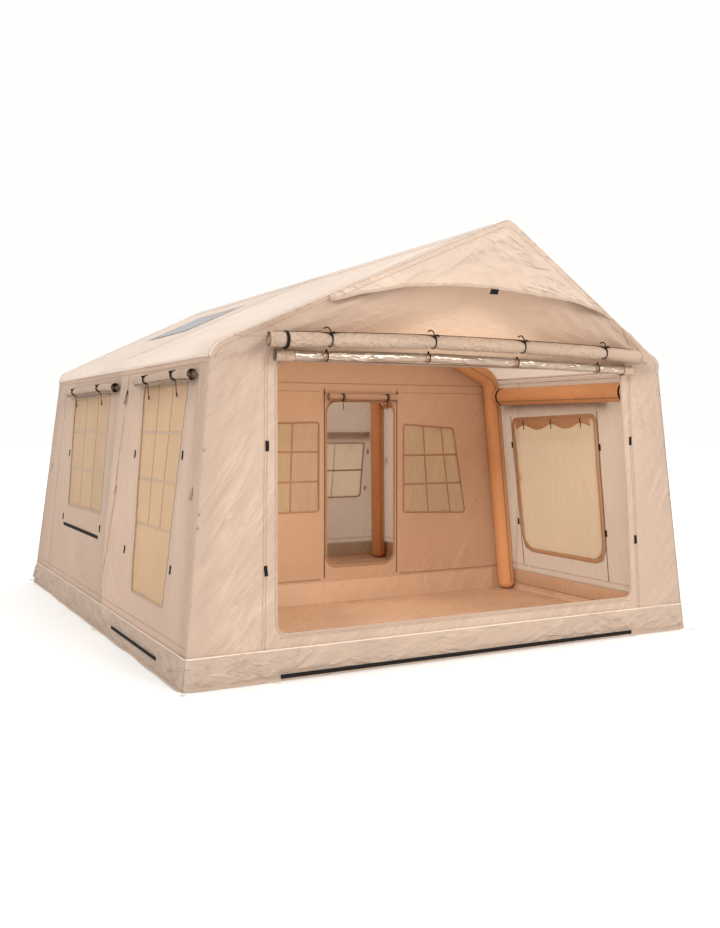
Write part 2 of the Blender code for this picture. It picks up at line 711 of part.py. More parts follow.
    # tub floor and ground skirts
    fx, fy = side_x(0.0) - 0.008, HALF_L - 0.009
    box("groundsheet", (-fx, -fy, 0.0), (fx, fy, FLOOR_T), floor)
    so = SKIRT_OUT
    zs = (SKIRT_BASE, SKIRT_TOP)
    for name, yf, n, out in (
        ("skirt_front", front_y, fn, -1), ("skirt_rear", rear_y, rn, 1),
    ):
        ends = [(-side_x(zs[0]) - so, zs[0]), (side_x(zs[0]) + so, zs[0]),
                (side_x(zs[1]) + so, zs[1]), (-side_x(zs[1]) - so, zs[1])]
        flat_panel(name, ends, [], lambda u, v, yf=yf, out=out: (u, yf(v) + out * so, v), n, CLOTH, wall)
    for tag, s in (("left", -1), ("right", 1)):
        n = Vector((s * SIDE_N[0], 0.0, SIDE_N[2]))
        gap = so - CLOTH - 0.0012
        ends = [(front_y(zs[0]) - gap, zs[0]), (rear_y(zs[0]) + gap - 0.0006, zs[0]),
                (rear_y(zs[1]) + gap - 0.0006, zs[1]), (front_y(zs[1]) - gap, zs[1])]
        flat_panel(f"skirt_{tag}", ends, [], lambda u, v, s=s: (s * (side_x(v) + so), u, v), n, CLOTH, wall)

    # black strips
    yf = front_y(0.025) - so - 0.001
    box("strip_front", (-1.30, yf - 0.010, 0.012), (1.374, yf, 0.036), black, 0.003)
    xl = -(side_x(0.08) + so + 0.002)
    box("strip_left_low", (xl - 0.006, -1.72, 0.070), (xl, -0.664, 0.090), black, 0.002)
    xl = -(side_x(0.62) + 0.0005)
    box("strip_left_rear", (xl - 0.005, -0.02, 0.621), (xl, 1.20, 0.648), black, 0.0015)

    # rolled covers
    ties = [1.4 - 1.016, 1.4 - 0.314, 1.4 + 0.361, 1.4 + 1.04]
    roll("door_roll", (DOOR_ROLL["x0"], DOOR_ROLL["y"], DOOR_ROLL["z"]),
         (DOOR_ROLL["x1"], DOOR_ROLL["y"], DOOR_ROLL["z"]), DOOR_ROLL["r"], rolled, ties)
    roll("film_roll", (FILM_ROLL["x0"], FILM_ROLL["y"], FILM_ROLL["z"]),
         (FILM_ROLL["x1"], FILM_ROLL["y"], FILM_ROLL["z"]), FILM_ROLL["r"], film, [t - 0.08 for t in ties])

    def side_roll(name, s, y0, y1, z, r, at):
        x = s * (side_x(z) + (r + 0.005) * math.hypot(1.0, SIDE_LEAN))
        roll(name, (x, y0, z), (x, y1, z), r, rolled, [a - y0 for a in at])

    side_roll("cover_roll_left_front", -1, -2.010, -0.827, 1.772, 0.038, (-1.70, -1.105))
    side_roll("cover_roll_left_rear", -1, -0.282, 1.322, 1.752, 0.038, (0.172, 1.046))
    side_roll("cover_roll_right_front", 1, -1.62, -0.28, 1.640, 0.038, (-1.35, -0.60))
    side_roll("cover_roll_right_rear", 1, -0.12, 1.322, 1.752, 0.038, (0.172, 1.046))
    zb = 1.345
    roll("cover_roll_rear_wall", (0.42, rear_y(zb) + 0.042, zb), (1.615, rear_y(zb) + 0.042, zb), 0.036, rolled, [0.25, 0.95])
    roll("partition_door_roll", (0.022, PART_Y - 0.044, 1.705), (0.668, PART_Y - 0.044, 1.705), 0.038, rolled, [0.128, 0.544])

    # partition door zips
    for tag, x in (("left", 0.005), ("right", 0.690)):
        box(f"zip_track_{tag}", (x - 0.004, PART_Y - 0.0030, 0.215), (x + 0.004, PART_Y - 0.0005, 1.775), black)
        box(f"zip_slider_{tag}", (x - 0.006, PART_Y - 0.0110, 1.728), (x + 0.006, PART_Y - 0.0036, 1.752), plastic, 0.0015)

    # inflation valve on the rear arch, inside the rear room
    vz = 0.32
    vx = -post_x(vz) + BEAM_R + 0.0050
    vy = rear_post_y(vz)
    turned("valve_body", (vx, vy, vz), [(0.0, 0.030), (0.004, 0.030), (0.0045, 0.021), (0.016, 0.020), (0.0165, 0.019)], plastic)
    turned("valve_cap", (vx + 0.0172, vy, vz), [(0.0, 0.0215), (0.0005, 0.022), (0.006, 0.022), (0.0068, 0.0205)], plastic,
           (vx + 0.0172, vy + 0.024, vz))

    # stake loops
    spots = [
        ("front_left", (-1.86, -2.26), (-0.70, -0.714)), ("front_right", (1.86, -2.26), (0.70, -0.714)),
        ("rear_left", (-1.86, 2.26), (-0.70, 0.714)), ("rear_right", (1.86, 2.26), (0.70, 0.714)),
        ("door_left", (-1.33, -2.262), (0.0, -1.0)), ("door_right", (1.37, -2.262), (0.0, -1.0)),
        ("side_left", (-1.890, -0.30), (-1.0, 0.0)), ("side_right", (1.890, -0.30), (1.0, 0.0)),
    ]
    for tag, (x, y), (dx, dy) in spots:
        corner = tag in ("front_left", "front_right", "rear_left", "rear_right")
        start = 0.042 if corner else 0.0
        d = Vector((dx, dy, 0.0)).normalized()
        e = Vector((-d.y, d.x, 0.0))
        base = Vector((x, y, 0.0045)) + d * (start + 0.001 if corner else 0.003)

        def place(u, v, base=base, d=d, e=e):
            return base + d * u + e * v

        ring = [(0.0, -0.015), (0.030, -0.015), (0.042, -0.009), (0.046, 0.0), (0.042, 0.009), (0.030, 0.015), (0.0, 0.015)]
        eye = [(0.012, -0.0075), (0.028, -0.0075), (0.035, 0.0), (0.028, 0.0075), (0.012, 0.0075)]
        flat_panel(f"stake_loop_{tag}", ring, [eye], place, (0, 0, 1), 0.003, web)


def turned(name, base, profile, mat, origin=None, sides=28):
    """A small round part turned about the X axis: profile is (along, radius)."""
    verts, faces = [], []
    for along, r in profile:
        for s in range(sides):
            t = 2 * math.pi * s / sides
            verts.append((base[0] + along, base[1] + r * math.cos(t), base[2] + r * math.sin(t)))
    for k in range(len(profile) - 1):
        for s in range(sides):
            p, q = k * sides + s, k * sides + (s + 1) % sides
            faces.append((p, q, q + sides, p + sides))
    faces.append(tuple(range(sides - 1, -1, -1)))
    faces.append(tuple((len(profile) - 1) * sides + s for s in range(sides)))
    return add_mesh(name, verts, faces, mat, origin or base, 35)


main()
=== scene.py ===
"""Visual model of the two-room inflatable tent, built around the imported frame."""

import json
import math

import bpy
import numpy as np
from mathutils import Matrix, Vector
from mathutils.geometry import delaunay_2d_cdt

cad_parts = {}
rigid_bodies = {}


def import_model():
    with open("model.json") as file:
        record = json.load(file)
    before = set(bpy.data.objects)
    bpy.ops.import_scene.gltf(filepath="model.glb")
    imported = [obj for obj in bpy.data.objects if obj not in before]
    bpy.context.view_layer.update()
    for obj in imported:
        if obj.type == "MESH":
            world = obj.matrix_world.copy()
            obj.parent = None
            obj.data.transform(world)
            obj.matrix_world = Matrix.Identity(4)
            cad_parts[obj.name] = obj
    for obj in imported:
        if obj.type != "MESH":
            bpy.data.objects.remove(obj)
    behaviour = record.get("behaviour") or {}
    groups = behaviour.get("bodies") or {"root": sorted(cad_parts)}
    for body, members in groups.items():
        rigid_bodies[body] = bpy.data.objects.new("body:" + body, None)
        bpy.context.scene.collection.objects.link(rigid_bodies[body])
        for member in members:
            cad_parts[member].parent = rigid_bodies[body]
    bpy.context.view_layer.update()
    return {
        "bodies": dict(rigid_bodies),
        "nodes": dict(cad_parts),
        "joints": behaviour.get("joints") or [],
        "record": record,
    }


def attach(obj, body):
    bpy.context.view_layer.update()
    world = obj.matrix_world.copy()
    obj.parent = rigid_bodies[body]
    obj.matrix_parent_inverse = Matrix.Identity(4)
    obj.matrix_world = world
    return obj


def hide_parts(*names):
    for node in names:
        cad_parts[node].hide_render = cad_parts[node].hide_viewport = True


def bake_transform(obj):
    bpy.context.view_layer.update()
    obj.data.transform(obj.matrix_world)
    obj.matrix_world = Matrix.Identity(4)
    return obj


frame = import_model()

# ---------------------------------------------------------------- dimensions, as in the CAD
HALF_W, HALF_L = 1.88, 2.25
SIDE_LEAN, FRONT_LEAN, REAR_LEAN = 0.1036, 0.0466, 0.171
RIDGE_Z, PITCH, EAVE_R, CLOTH = 2.70, 0.4583, 0.12, 0.004
BEAM_R, BEAM_IN = 0.075, 0.085
MID_Y, FRONT_APEX_Y, REAR_APEX_Y, BEND_R = -0.23, -2.55, 2.579, 0.15
PART_Y, SEAM_Z, REAR_SEAM_Z, GABLE_OUT = -0.15, 1.848, 1.830, 0.083
SKIRT_TOP, SKIRT_OUT, BASE_Z, EAVE_BEAM_Z = 0.185, 0.006, 0.012, 1.72
DOOR_X = (-1.275, 1.325, 1.385, -1.310)
DOOR_Z = (0.27, 1.850)
DOOR_CORNER = 0.055
WIN_TALL = ((-1.828, 1.735), (-0.905, 1.735), (-1.04, 0.393), (-1.723, 0.390))
WIN_REAR = ((0.0, 1.700), (1.20, 1.683), (1.089, 0.808), (-0.02, 0.822))
WIN_RIGHT = ((-1.45, 1.530), (-0.42, 1.500), (-0.45, 0.400), (-1.45, 0.400))
WIN_REAR_R = ((0.0, 1.700), (1.20, 1.683), (1.11, 0.808), (0.0, 0.822))
WIN_BACK = ((0.50, 1.27), (1.535, 1.27), (1.535, 0.70), (0.50, 0.70))
SKY_LEFT = (-0.95, -0.45, 0.50, 1.60)
SKY_RIGHT = (0.45, 1.00, -1.55, -0.65)
PDOOR = (0.030, 0.655, 0.310, 1.665)
PDOOR_CORNER = 0.09
PWIN_L = ((-0.660, 1.480), (-0.052, 1.491), (-0.052, 0.775), (-0.720, 0.775))
PWIN_R = ((0.763, 1.474), (1.251, 1.439), (1.376, 0.712), (0.764, 0.737))
DOOR_TIES = (-1.016, -0.314, 0.361, 1.04)

SIDE_N = (math.cos(math.atan(SIDE_LEAN)), 0.0, math.sin(math.atan(SIDE_LEAN)))
ROOF_N = (math.sin(math.atan(PITCH)), 0.0, math.cos(math.atan(PITCH)))


def side_x(z):
    return HALF_W - SIDE_LEAN * z


def front_y(z):
    return -HALF_L + FRONT_LEAN * z


def rear_y(z):
    return HALF_L - REAR_LEAN * z


def post_x(z):
    return side_x(z) - BEAM_IN * math.hypot(1.0, SIDE_LEAN)


def front_post_y(z):
    return front_y(z) + BEAM_IN * math.hypot(1.0, FRONT_LEAN)


def rear_post_y(z):
    return rear_y(z) - BEAM_IN * math.hypot(1.0, REAR_LEAN)


APEX_Z = RIDGE_Z - BEAM_IN * math.hypot(1.0, PITCH)
_p0 = HALF_W - BEAM_IN * math.hypot(1.0, SIDE_LEAN)
KNEE_Z = (APEX_Z - PITCH * _p0) / (1.0 - PITCH * SIDE_LEAN)
KNEE_X = _p0 - SIDE_LEAN * KNEE_Z


# ---------------------------------------------------------------- camera, light, floor
def make_camera():
    cam = bpy.data.cameras.new("camera")
    cam.sensor_width = 36.0
    cam.lens = 1000.0 / 928.0 * 36.0
    cam.clip_start, cam.clip_end = 0.05, 200.0
    obj = bpy.data.objects.new("camera", cam)
    obj.location = (-3.58, -7.528, 1.483)
    yaw, pitch = 0.488, -0.040
    look = Vector((math.sin(yaw) * math.cos(pitch), math.cos(yaw) * math.cos(pitch), math.sin(pitch)))
    obj.rotation_euler = look.to_track_quat("-Z", "Y").to_euler()
    bpy.context.scene.collection.objects.link(obj)
    bpy.context.scene.camera = obj


make_camera()


# ---------------------------------------------------------------- noise
_rng = np.random.default_rng(7)
_perm = _rng.permutation(256)
_perm = np.concatenate([_perm, _perm, _perm])
_grad = _rng.normal(size=(256, 3))
_grad /= np.linalg.norm(_grad, axis=1)[:, None]


def noise3(p):
    """Gradient noise from about -1 to 1 at the points p, shape (n, 3)."""
    p = np.asarray(p, float)
    i = np.floor(p).astype(int)
    f = p - i
    w = f * f * f * (f * (f * 6 - 15) + 10)
    i &= 255
    out = np.zeros(len(p))
    for dx in (0, 1):
        for dy in (0, 1):
            for dz in (0, 1):
                h = _perm[_perm[_perm[(i[:, 0] + dx) & 255] + ((i[:, 1] + dy) & 255)] + ((i[:, 2] + dz) & 255)]
                g = _grad[h]
                d = f - np.array((dx, dy, dz))
                k = (
                    (w[:, 0] if dx else 1 - w[:, 0])
                    * (w[:, 1] if dy else 1 - w[:, 1])
                    * (w[:, 2] if dz else 1 - w[:, 2])
                )
                out += k * (g * d).sum(axis=1)
    return out * 1.6


def fold(u, v, angle, wave, stretch, seed, sharp=1.0):
    """Long parallel creases: angle is the direction that they run in, wave their spacing, stretch their length ratio."""
    c, s = math.cos(angle), math.sin(angle)
    along, across = u * c + v * s, -u * s + v * c
    warp = 0.35 * noise3(np.stack([along / (wave * stretch), across / (wave * 3), np.full_like(u, seed + 9.1)], 1))
    n = noise3(np.stack([along / (wave * stretch), across / wave + warp, np.full_like(u, float(seed))], 1))
    ridge = 1.0 - np.abs(n) * 2.2
    return np.sign(ridge) * np.abs(ridge) ** sharp if sharp != 1.0 else ridge


def fan(u, v, u0, v0, toward, spread, reach, wave, seed, inner=0.05, sharp=4.5):
    """Sharp creases that run out from one point, strongest along one direction."""
    du, dv = u - u0, v - v0
    r = np.hypot(du, dv)
    th = (np.arctan2(dv, du) - math.radians(toward) + math.pi) % (2 * math.pi) - math.pi
    n = noise3(np.stack([th / wave, r / 0.9, np.full_like(r, seed + 0.37)], 1))
    ridge = np.maximum(0.0, 1 - np.abs(n) * sharp)
    return ridge * smooth01((r - inner) / (inner + 0.05)) * np.exp(-((r / reach) ** 2)) * np.exp(-((th / spread) ** 2))


def soft(u, v, wave, seed):
    return noise3(np.stack([u / wave, v / wave, np.full_like(u, float(seed) + 0.37)], 1))


def smooth01(t):
    t = np.clip(t, 0.0, 1.0)
    return t * t * (3 - 2 * t)


# ---------------------------------------------------------------- materials
def _node(nt, kind, **values):
    n = nt.nodes.new(kind)
    for key, value in values.items():
        setattr(n, key, value)
    return n


def cloth_material(
    name,
    colour,
    rough=0.78,
    vary=0.05,
    weave=0.25,
    crease=0.35,
    crease_scale=5.0,
    sheen=0.0,
    through=0.0,
    through_colour=None,
    dirt=0.0,
    dirt_top=0.25,
    alpha=1.0,
    weave_scale=420.0,
    runs=((1.0, 0.0, 1.6), (-1.0, 0.0, 1.8)),
    second=1.0,
    lines=None,
):
    """Woven cloth: thread grain, creases and slow colour change, some light coming through it, and painted highlight
    and shade along the creases.
    """
    mat = bpy.data.materials.new(name)
    mat.use_nodes = True
    nt = mat.node_tree
    nt.nodes.clear()
    out = _node(nt, "ShaderNodeOutputMaterial")
    p = _node(nt, "ShaderNodeBsdfPrincipled")
    p.inputs["Roughness"].default_value = rough
    p.inputs["Sheen Weight"].default_value = sheen
    p.inputs["Specular IOR Level"].default_value = 0.35
    at = _node(nt, "ShaderNodeTexCoord")
    # slow colour change
    slow = _node(nt, "ShaderNodeTexNoise")
    slow.inputs["Scale"].default_value = 1.7
    slow.inputs["Detail"].default_value = 5.0
    slow.inputs["Roughness"].default_value = 0.6
    nt.links.new(at.outputs["Object"], slow.inputs["Vector"])
    ramp = _node(nt, "ShaderNodeValToRGB")
    ramp.color_ramp.elements[0].position = 0.3
    ramp.color_ramp.elements[1].position = 0.7
    lo = tuple(c * (1 - vary) for c in colour)
    hi = tuple(min(1.0, c * (1 + vary * 0.8)) for c in colour)
    ramp.color_ramp.elements[0].color = (*lo, 1)
    ramp.color_ramp.elements[1].color = (*hi, 1)
    nt.links.new(slow.outputs["Fac"], ramp.inputs["Fac"])
    colour_out = ramp.outputs["Color"]
    # fine speckle of the threads
    fine = _node(nt, "ShaderNodeTexNoise")
    fine.inputs["Scale"].default_value = 260.0
    fine.inputs["Detail"].default_value = 2.0
    nt.links.new(at.outputs["Object"], fine.inputs["Vector"])
    fmap = _node(nt, "ShaderNodeMapRange")
    fmap.inputs["From Min"].default_value = 0.3
    fmap.inputs["From Max"].default_value = 0.7
    fmap.inputs["To Min"].default_value = 0.955
    fmap.inputs["To Max"].default_value = 1.03
    nt.links.new(fine.outputs["Fac"], fmap.inputs["Value"])
    mul = _node(nt, "ShaderNodeMix", data_type="RGBA", blend_type="MULTIPLY")
    mul.inputs["Factor"].default_value = 1.0
    nt.links.new(colour_out, mul.inputs[6])
    nt.links.new(fmap.outputs["Result"], mul.inputs[7])
    colour_out = mul.outputs[2]
    if dirt > 0:
        geo = _node(nt, "ShaderNodeSeparateXYZ")
        nt.links.new(at.outputs["Object"], geo.inputs[0])
        grime = _node(nt, "ShaderNodeTexNoise")
        grime.inputs["Scale"].default_value = 9.0
        grime.inputs["Detail"].default_value = 6.0
        nt.links.new(at.outputs["Object"], grime.inputs["Vector"])
        add = _node(nt, "ShaderNodeMath", operation="MULTIPLY_ADD")
        add.inputs[1].default_value = 0.22
        nt.links.new(grime.outputs["Fac"], add.inputs[0])
        nt.links.new(geo.outputs["Z"], add.inputs[2])
        dmap = _node(nt, "ShaderNodeMapRange")
        dmap.inputs["From Min"].default_value = 0.08
        dmap.inputs["From Max"].default_value = dirt_top
        dmap.inputs["To Min"].default_value = dirt
        dmap.inputs["To Max"].default_value = 0.0
        nt.links.new(add.outputs[0], dmap.inputs["Value"])
        dmix = _node(nt, "ShaderNodeMix", data_type="RGBA", blend_type="MIX")
        nt.links.new(dmap.outputs["Result"], dmix.inputs["Factor"])
        nt.links.new(colour_out, dmix.inputs[6])
        dmix.inputs[7].default_value = (colour[0] * 0.5, colour[1] * 0.42, colour[2] * 0.34, 1)
        colour_out = dmix.outputs[2]
    # bump and painted crease light: two sets of long creases, each in patches, then the weave
    vec = at.outputs["Object"]

    def ridges(run, scale, power, seed):
        # the noise is drawn out along the direction that the creases run in
        m = _node(nt, "ShaderNodeMapping", vector_type="TEXTURE")
        m.inputs["Rotation"].default_value = Vector(run).to_track_quat("Z", "Y").to_euler()
        m.inputs["Scale"].default_value = (1.0, 1.0, 13.0)
        m.inputs["Location"].default_value = (seed, seed * 0.7, -seed)
        nt.links.new(vec, m.inputs["Vector"])
        n = _node(nt, "ShaderNodeTexNoise")
        n.inputs["Scale"].default_value = scale
        n.inputs["Detail"].default_value = 1.5
        n.inputs["Roughness"].default_value = 0.5
        n.inputs["Distortion"].default_value = 0.08
        nt.links.new(m.outputs["Vector"], n.inputs["Vector"])
        c = _node(nt, "ShaderNodeMath", operation="SUBTRACT")
        c.inputs[1].default_value = 0.5
        nt.links.new(n.outputs["Fac"], c.inputs[0])
        d = _node(nt, "ShaderNodeMath", operation="ABSOLUTE")
        nt.links.new(c.outputs[0], d.inputs[0])
        e = _node(nt, "ShaderNodeMath", operation="MULTIPLY_ADD")
        e.inputs[1].default_value = -10.0
        e.inputs[2].default_value = 1.0
        e.use_clamp = True
        nt.links.new(d.outputs[0], e.inputs[0])
        f = _node(nt, "ShaderNodeMath", operation="POWER")
        f.inputs[1].default_value = power
        nt.links.new(e.outputs[0], f.inputs[0])
        mask = _node(nt, "ShaderNodeTexNoise")
        mask.inputs["Scale"].default_value = 2.0 + 0.1 * seed
        mask.inputs["Detail"].default_value = 1.0
        nt.links.new(vec, mask.inputs["Vector"])
        g = _node(nt, "ShaderNodeMapRange")
        g.inputs["From Min"].default_value = 0.40
        g.inputs["From Max"].default_value = 0.58
        nt.links.new(mask.outputs["Fac"], g.inputs["Value"])
        h = _node(nt, "ShaderNodeMath", operation="MULTIPLY")
        nt.links.new(f.outputs[0], h.inputs[0])
        nt.links.new(g.outputs["Result"], h.inputs[1])
        return h.outputs[0]

    r1 = ridges(runs[0], crease_scale * 3.6, 1.3, 3.1)
    r2 = ridges(runs[1], crease_scale * 4.8, 1.5, 8.7)
    both = _node(nt, "ShaderNodeMath", operation="MULTIPLY_ADD")
    both.inputs[1].default_value = second
    nt.links.new(r2, both.inputs[0])
    nt.links.new(r1, both.inputs[2])
    # painted highlight and shade: the base colour is lightened along the crease ridges and darkened beside them, as
    # strongly as lines says
    painted_crease_light = _node(nt, "ShaderNodeMapRange")
    lines = crease if lines is None else lines
    painted_crease_light.inputs["To Min"].default_value = 1.0 - 0.045 * lines
    painted_crease_light.inputs["To Max"].default_value = 1.0 + 0.120 * lines
    nt.links.new(both.outputs[0], painted_crease_light.inputs["Value"])
    tint = _node(nt, "ShaderNodeMix", data_type="RGBA", blend_type="MULTIPLY")
    tint.inputs["Factor"].default_value = 1.0
    nt.links.new(colour_out, tint.inputs[6])
    nt.links.new(painted_crease_light.outputs["Result"], tint.inputs[7])
    nt.links.new(tint.outputs[2], p.inputs["Base Color"])
    wavy = _node(nt, "ShaderNodeTexNoise")
    wavy.inputs["Scale"].default_value = crease_scale * 0.9
    wavy.inputs["Detail"].default_value = 2.0
    nt.links.new(vec, wavy.inputs["Vector"])
    total = _node(nt, "ShaderNodeMath", operation="MULTIPLY_ADD")
    total.inputs[1].default_value = 0.9
    nt.links.new(wavy.outputs["Fac"], total.inputs[0])
    nt.links.new(both.outputs[0], total.inputs[2])
    b1 = _node(nt, "ShaderNodeBump")
    b1.inputs["Strength"].default_value = crease
    b1.inputs["Distance"].default_value = 0.0090
    nt.links.new(total.outputs[0], b1.inputs["Height"])
    wa = _node(nt, "ShaderNodeTexWave", wave_type="BANDS", bands_direction="Z")
    wa.inputs["Scale"].default_value = weave_scale
    wa.inputs["Distortion"].default_value = 0.4
    wb = _node(nt, "ShaderNodeTexWave", wave_type="BANDS", bands_direction="DIAGONAL")
    wb.inputs["Scale"].default_value = weave_scale
    wb.inputs["Distortion"].default_value = 0.4
    nt.links.new(vec, wa.inputs["Vector"])
    nt.links.new(vec, wb.inputs["Vector"])
    wm = _node(nt, "ShaderNodeMath", operation="MULTIPLY")
    nt.links.new(wa.outputs["Fac"], wm.inputs[0])
    nt.links.new(wb.outputs["Fac"], wm.inputs[1])
    b2 = _node(nt, "ShaderNodeBump")
    b2.inputs["Strength"].default_value = weave
    b2.inputs["Distance"].default_value = 0.0006
    nt.links.new(wm.outputs[0], b2.inputs["Height"])
    nt.links.new(b1.outputs["Normal"], b2.inputs["Normal"])
    nt.links.new(b2.outputs["Normal"], p.inputs["Normal"])
    shader = p.outputs[0]
    if through > 0:
        t = _node(nt, "ShaderNodeBsdfTranslucent")
        t.inputs["Color"].default_value = (*(through_colour or colour), 1)
        mix = _node(nt, "ShaderNodeMixShader")
        mix.inputs[0].default_value = through
        nt.links.new(shader, mix.inputs[1])
        nt.links.new(t.outputs[0], mix.inputs[2])
        shader = mix.outputs[0]
    if alpha < 1:
        clear = _node(nt, "ShaderNodeBsdfTransparent")
        mix = _node(nt, "ShaderNodeMixShader")
        mix.inputs[0].default_value = alpha
        nt.links.new(clear.outputs[0], mix.inputs[1])
        nt.links.new(shader, mix.inputs[2])
        shader = mix.outputs[0]
    nt.links.new(shader, out.inputs["Surface"])
    mat.diffuse_color = (*colour, 1)
    return mat


def hard_material(name, colour, rough=0.4, metallic=0.0, grain=0.15, scale=180.0, vary=0.12, coat=0.0, shine=0.5):
    """Plastic, rubber, webbing or metal with grain, scuffs and a small change of colour."""
    mat = bpy.data.materials.new(name)
    mat.use_nodes = True
    nt = mat.node_tree
    p = nt.nodes["Principled BSDF"]
    p.inputs["Metallic"].default_value = metallic
    p.inputs["Coat Weight"].default_value = coat
    p.inputs["Specular IOR Level"].default_value = shine
    at = _node(nt, "ShaderNodeTexCoord")
    n = _node(nt, "ShaderNodeTexNoise")
    n.inputs["Scale"].default_value = scale
    n.inputs["Detail"].default_value = 3.0
    nt.links.new(at.outputs["Object"], n.inputs["Vector"])
    slow = _node(nt, "ShaderNodeTexNoise")
    slow.inputs["Scale"].default_value = 14.0
    slow.inputs["Detail"].default_value = 4.0
    nt.links.new(at.outputs["Object"], slow.inputs["Vector"])
    ramp = _node(nt, "ShaderNodeValToRGB")
    ramp.color_ramp.elements[0].position = 0.3
    ramp.color_ramp.elements[1].position = 0.72
    ramp.color_ramp.elements[0].color = (*[c * (1 - vary) for c in colour], 1)
    ramp.color_ramp.elements[1].color = (*[min(1, c * (1 + vary) + 0.001) for c in colour], 1)
    nt.links.new(slow.outputs["Fac"], ramp.inputs["Fac"])
    nt.links.new(ramp.outputs["Color"], p.inputs["Base Color"])
    rm = _node(nt, "ShaderNodeMapRange")
    rm.inputs["To Min"].default_value = max(0.05, rough - 0.1)
    rm.inputs["To Max"].default_value = min(1.0, rough + 0.12)
    nt.links.new(slow.outputs["Fac"], rm.inputs["Value"])
    nt.links.new(rm.outputs["Result"], p.inputs["Roughness"])
    b = _node(nt, "ShaderNodeBump")
    b.inputs["Strength"].default_value = grain
    b.inputs["Distance"].default_value = 0.0012
    nt.links.new(n.outputs["Fac"], b.inputs["Height"])
    nt.links.new(b.outputs["Normal"], p.inputs["Normal"])
    mat.diffuse_color = (*colour, 1)
    return mat


def film_material(name):
    """Clear window film rolled up: silvery and crumpled, with sharp glints from its coat, and painted highlight on the
    crinkle ridges and painted shade in their hollows.
    """
    mat = bpy.data.materials.new(name)
    mat.use_nodes = True
    nt = mat.node_tree
    p = nt.nodes["Principled BSDF"]
    p.inputs["Metallic"].default_value = 0.25
    p.inputs["Coat Weight"].default_value = 0.6
    p.inputs["Coat Roughness"].default_value = 0.06
    at = _node(nt, "ShaderNodeTexCoord")
    mapping = _node(nt, "ShaderNodeMapping")
    mapping.inputs["Scale"].default_value = (0.30, 1.0, 1.0)
    nt.links.new(at.outputs["Object"], mapping.inputs["Vector"])
    n = _node(nt, "ShaderNodeTexNoise")
    n.noise_type = "RIDGED_MULTIFRACTAL"
    n.inputs["Scale"].default_value = 22.0
    n.inputs["Detail"].default_value = 5.0
    n.inputs["Distortion"].default_value = 1.4
    nt.links.new(mapping.outputs["Vector"], n.inputs["Vector"])
    # painted highlight and shade: pale on the crinkle ridges, dark brown in the hollows between them
    ramp = _node(nt, "ShaderNodeValToRGB")
    e = ramp.color_ramp.elements
    e[0].position, e[0].color = 0.2, (0.36, 0.27, 0.20, 1)
    e[1].position, e[1].color = 0.85, (0.86, 0.80, 0.73, 1)
    mid = ramp.color_ramp.elements.new(0.55)
    mid.color = (0.58, 0.475, 0.385, 1)
    nt.links.new(n.outputs["Fac"], ramp.inputs["Fac"])
    nt.links.new(ramp.outputs["Color"], p.inputs["Base Color"])
    rm = _node(nt, "ShaderNodeMapRange")
    rm.inputs["To Min"].default_value = 0.12
    rm.inputs["To Max"].default_value = 0.34
    nt.links.new(n.outputs["Fac"], rm.inputs["Value"])
    nt.links.new(rm.outputs["Result"], p.inputs["Roughness"])
    b = _node(nt, "ShaderNodeBump")
    b.inputs["Strength"].default_value = 1.0
    b.inputs["Distance"].default_value = 0.016
    nt.links.new(n.outputs["Fac"], b.inputs["Height"])
    nt.links.new(b.outputs["Normal"], p.inputs["Normal"])
    mat.diffuse_color = (0.8, 0.78, 0.74, 1)
    return mat


def pane_material(name):
    """Grey clear sheet of a skylight."""
    mat = bpy.data.materials.new(name)
    mat.use_nodes = True
    nt = mat.node_tree
    out = nt.nodes["Material Output"]
    p = nt.nodes["Principled BSDF"]
    p.inputs["Specular IOR Level"].default_value = 0.6
    p.inputs["Coat Weight"].default_value = 0.4
    p.inputs["Coat Roughness"].default_value = 0.12
    at = _node(nt, "ShaderNodeTexCoord")
    n = _node(nt, "ShaderNodeTexNoise")
    n.inputs["Scale"].default_value = 6.0
    n.inputs["Detail"].default_value = 4.0
    nt.links.new(at.outputs["Object"], n.inputs["Vector"])
    ramp = _node(nt, "ShaderNodeValToRGB")
    ramp.color_ramp.elements[0].color = (0.17, 0.165, 0.18, 1)
    ramp.color_ramp.elements[1].color = (0.27, 0.265, 0.29, 1)
    nt.links.new(n.outputs["Fac"], ramp.inputs["Fac"])
    nt.links.new(ramp.outputs["Color"], p.inputs["Base Color"])
    rm = _node(nt, "ShaderNodeMapRange")
    rm.inputs["To Min"].default_value = 0.22
    rm.inputs["To Max"].default_value = 0.42
    nt.links.new(n.outputs["Fac"], rm.inputs["Value"])
    nt.links.new(rm.outputs["Result"], p.inputs["Roughness"])
    b = _node(nt, "ShaderNodeBump")
    b.inputs["Strength"].default_value = 0.25
    b.inputs["Distance"].default_value = 0.01
    nt.links.new(n.outputs["Fac"], b.inputs["Height"])
    nt.links.new(b.outputs["Normal"], p.inputs["Normal"])
    clear = _node(nt, "ShaderNodeBsdfTransparent")
    clear.inputs["Color"].default_value = (0.55, 0.54, 0.56, 1)
    mix = _node(nt, "ShaderNodeMixShader")
    mix.inputs[0].default_value = 0.74
    nt.links.new(clear.outputs[0], mix.inputs[1])
    nt.links.new(p.outputs[0], mix.inputs[2])
    nt.links.new(mix.outputs[0], out.inputs["Surface"])
    mat.diffuse_color = (0.5, 0.5, 0.53, 0.6)
    return mat


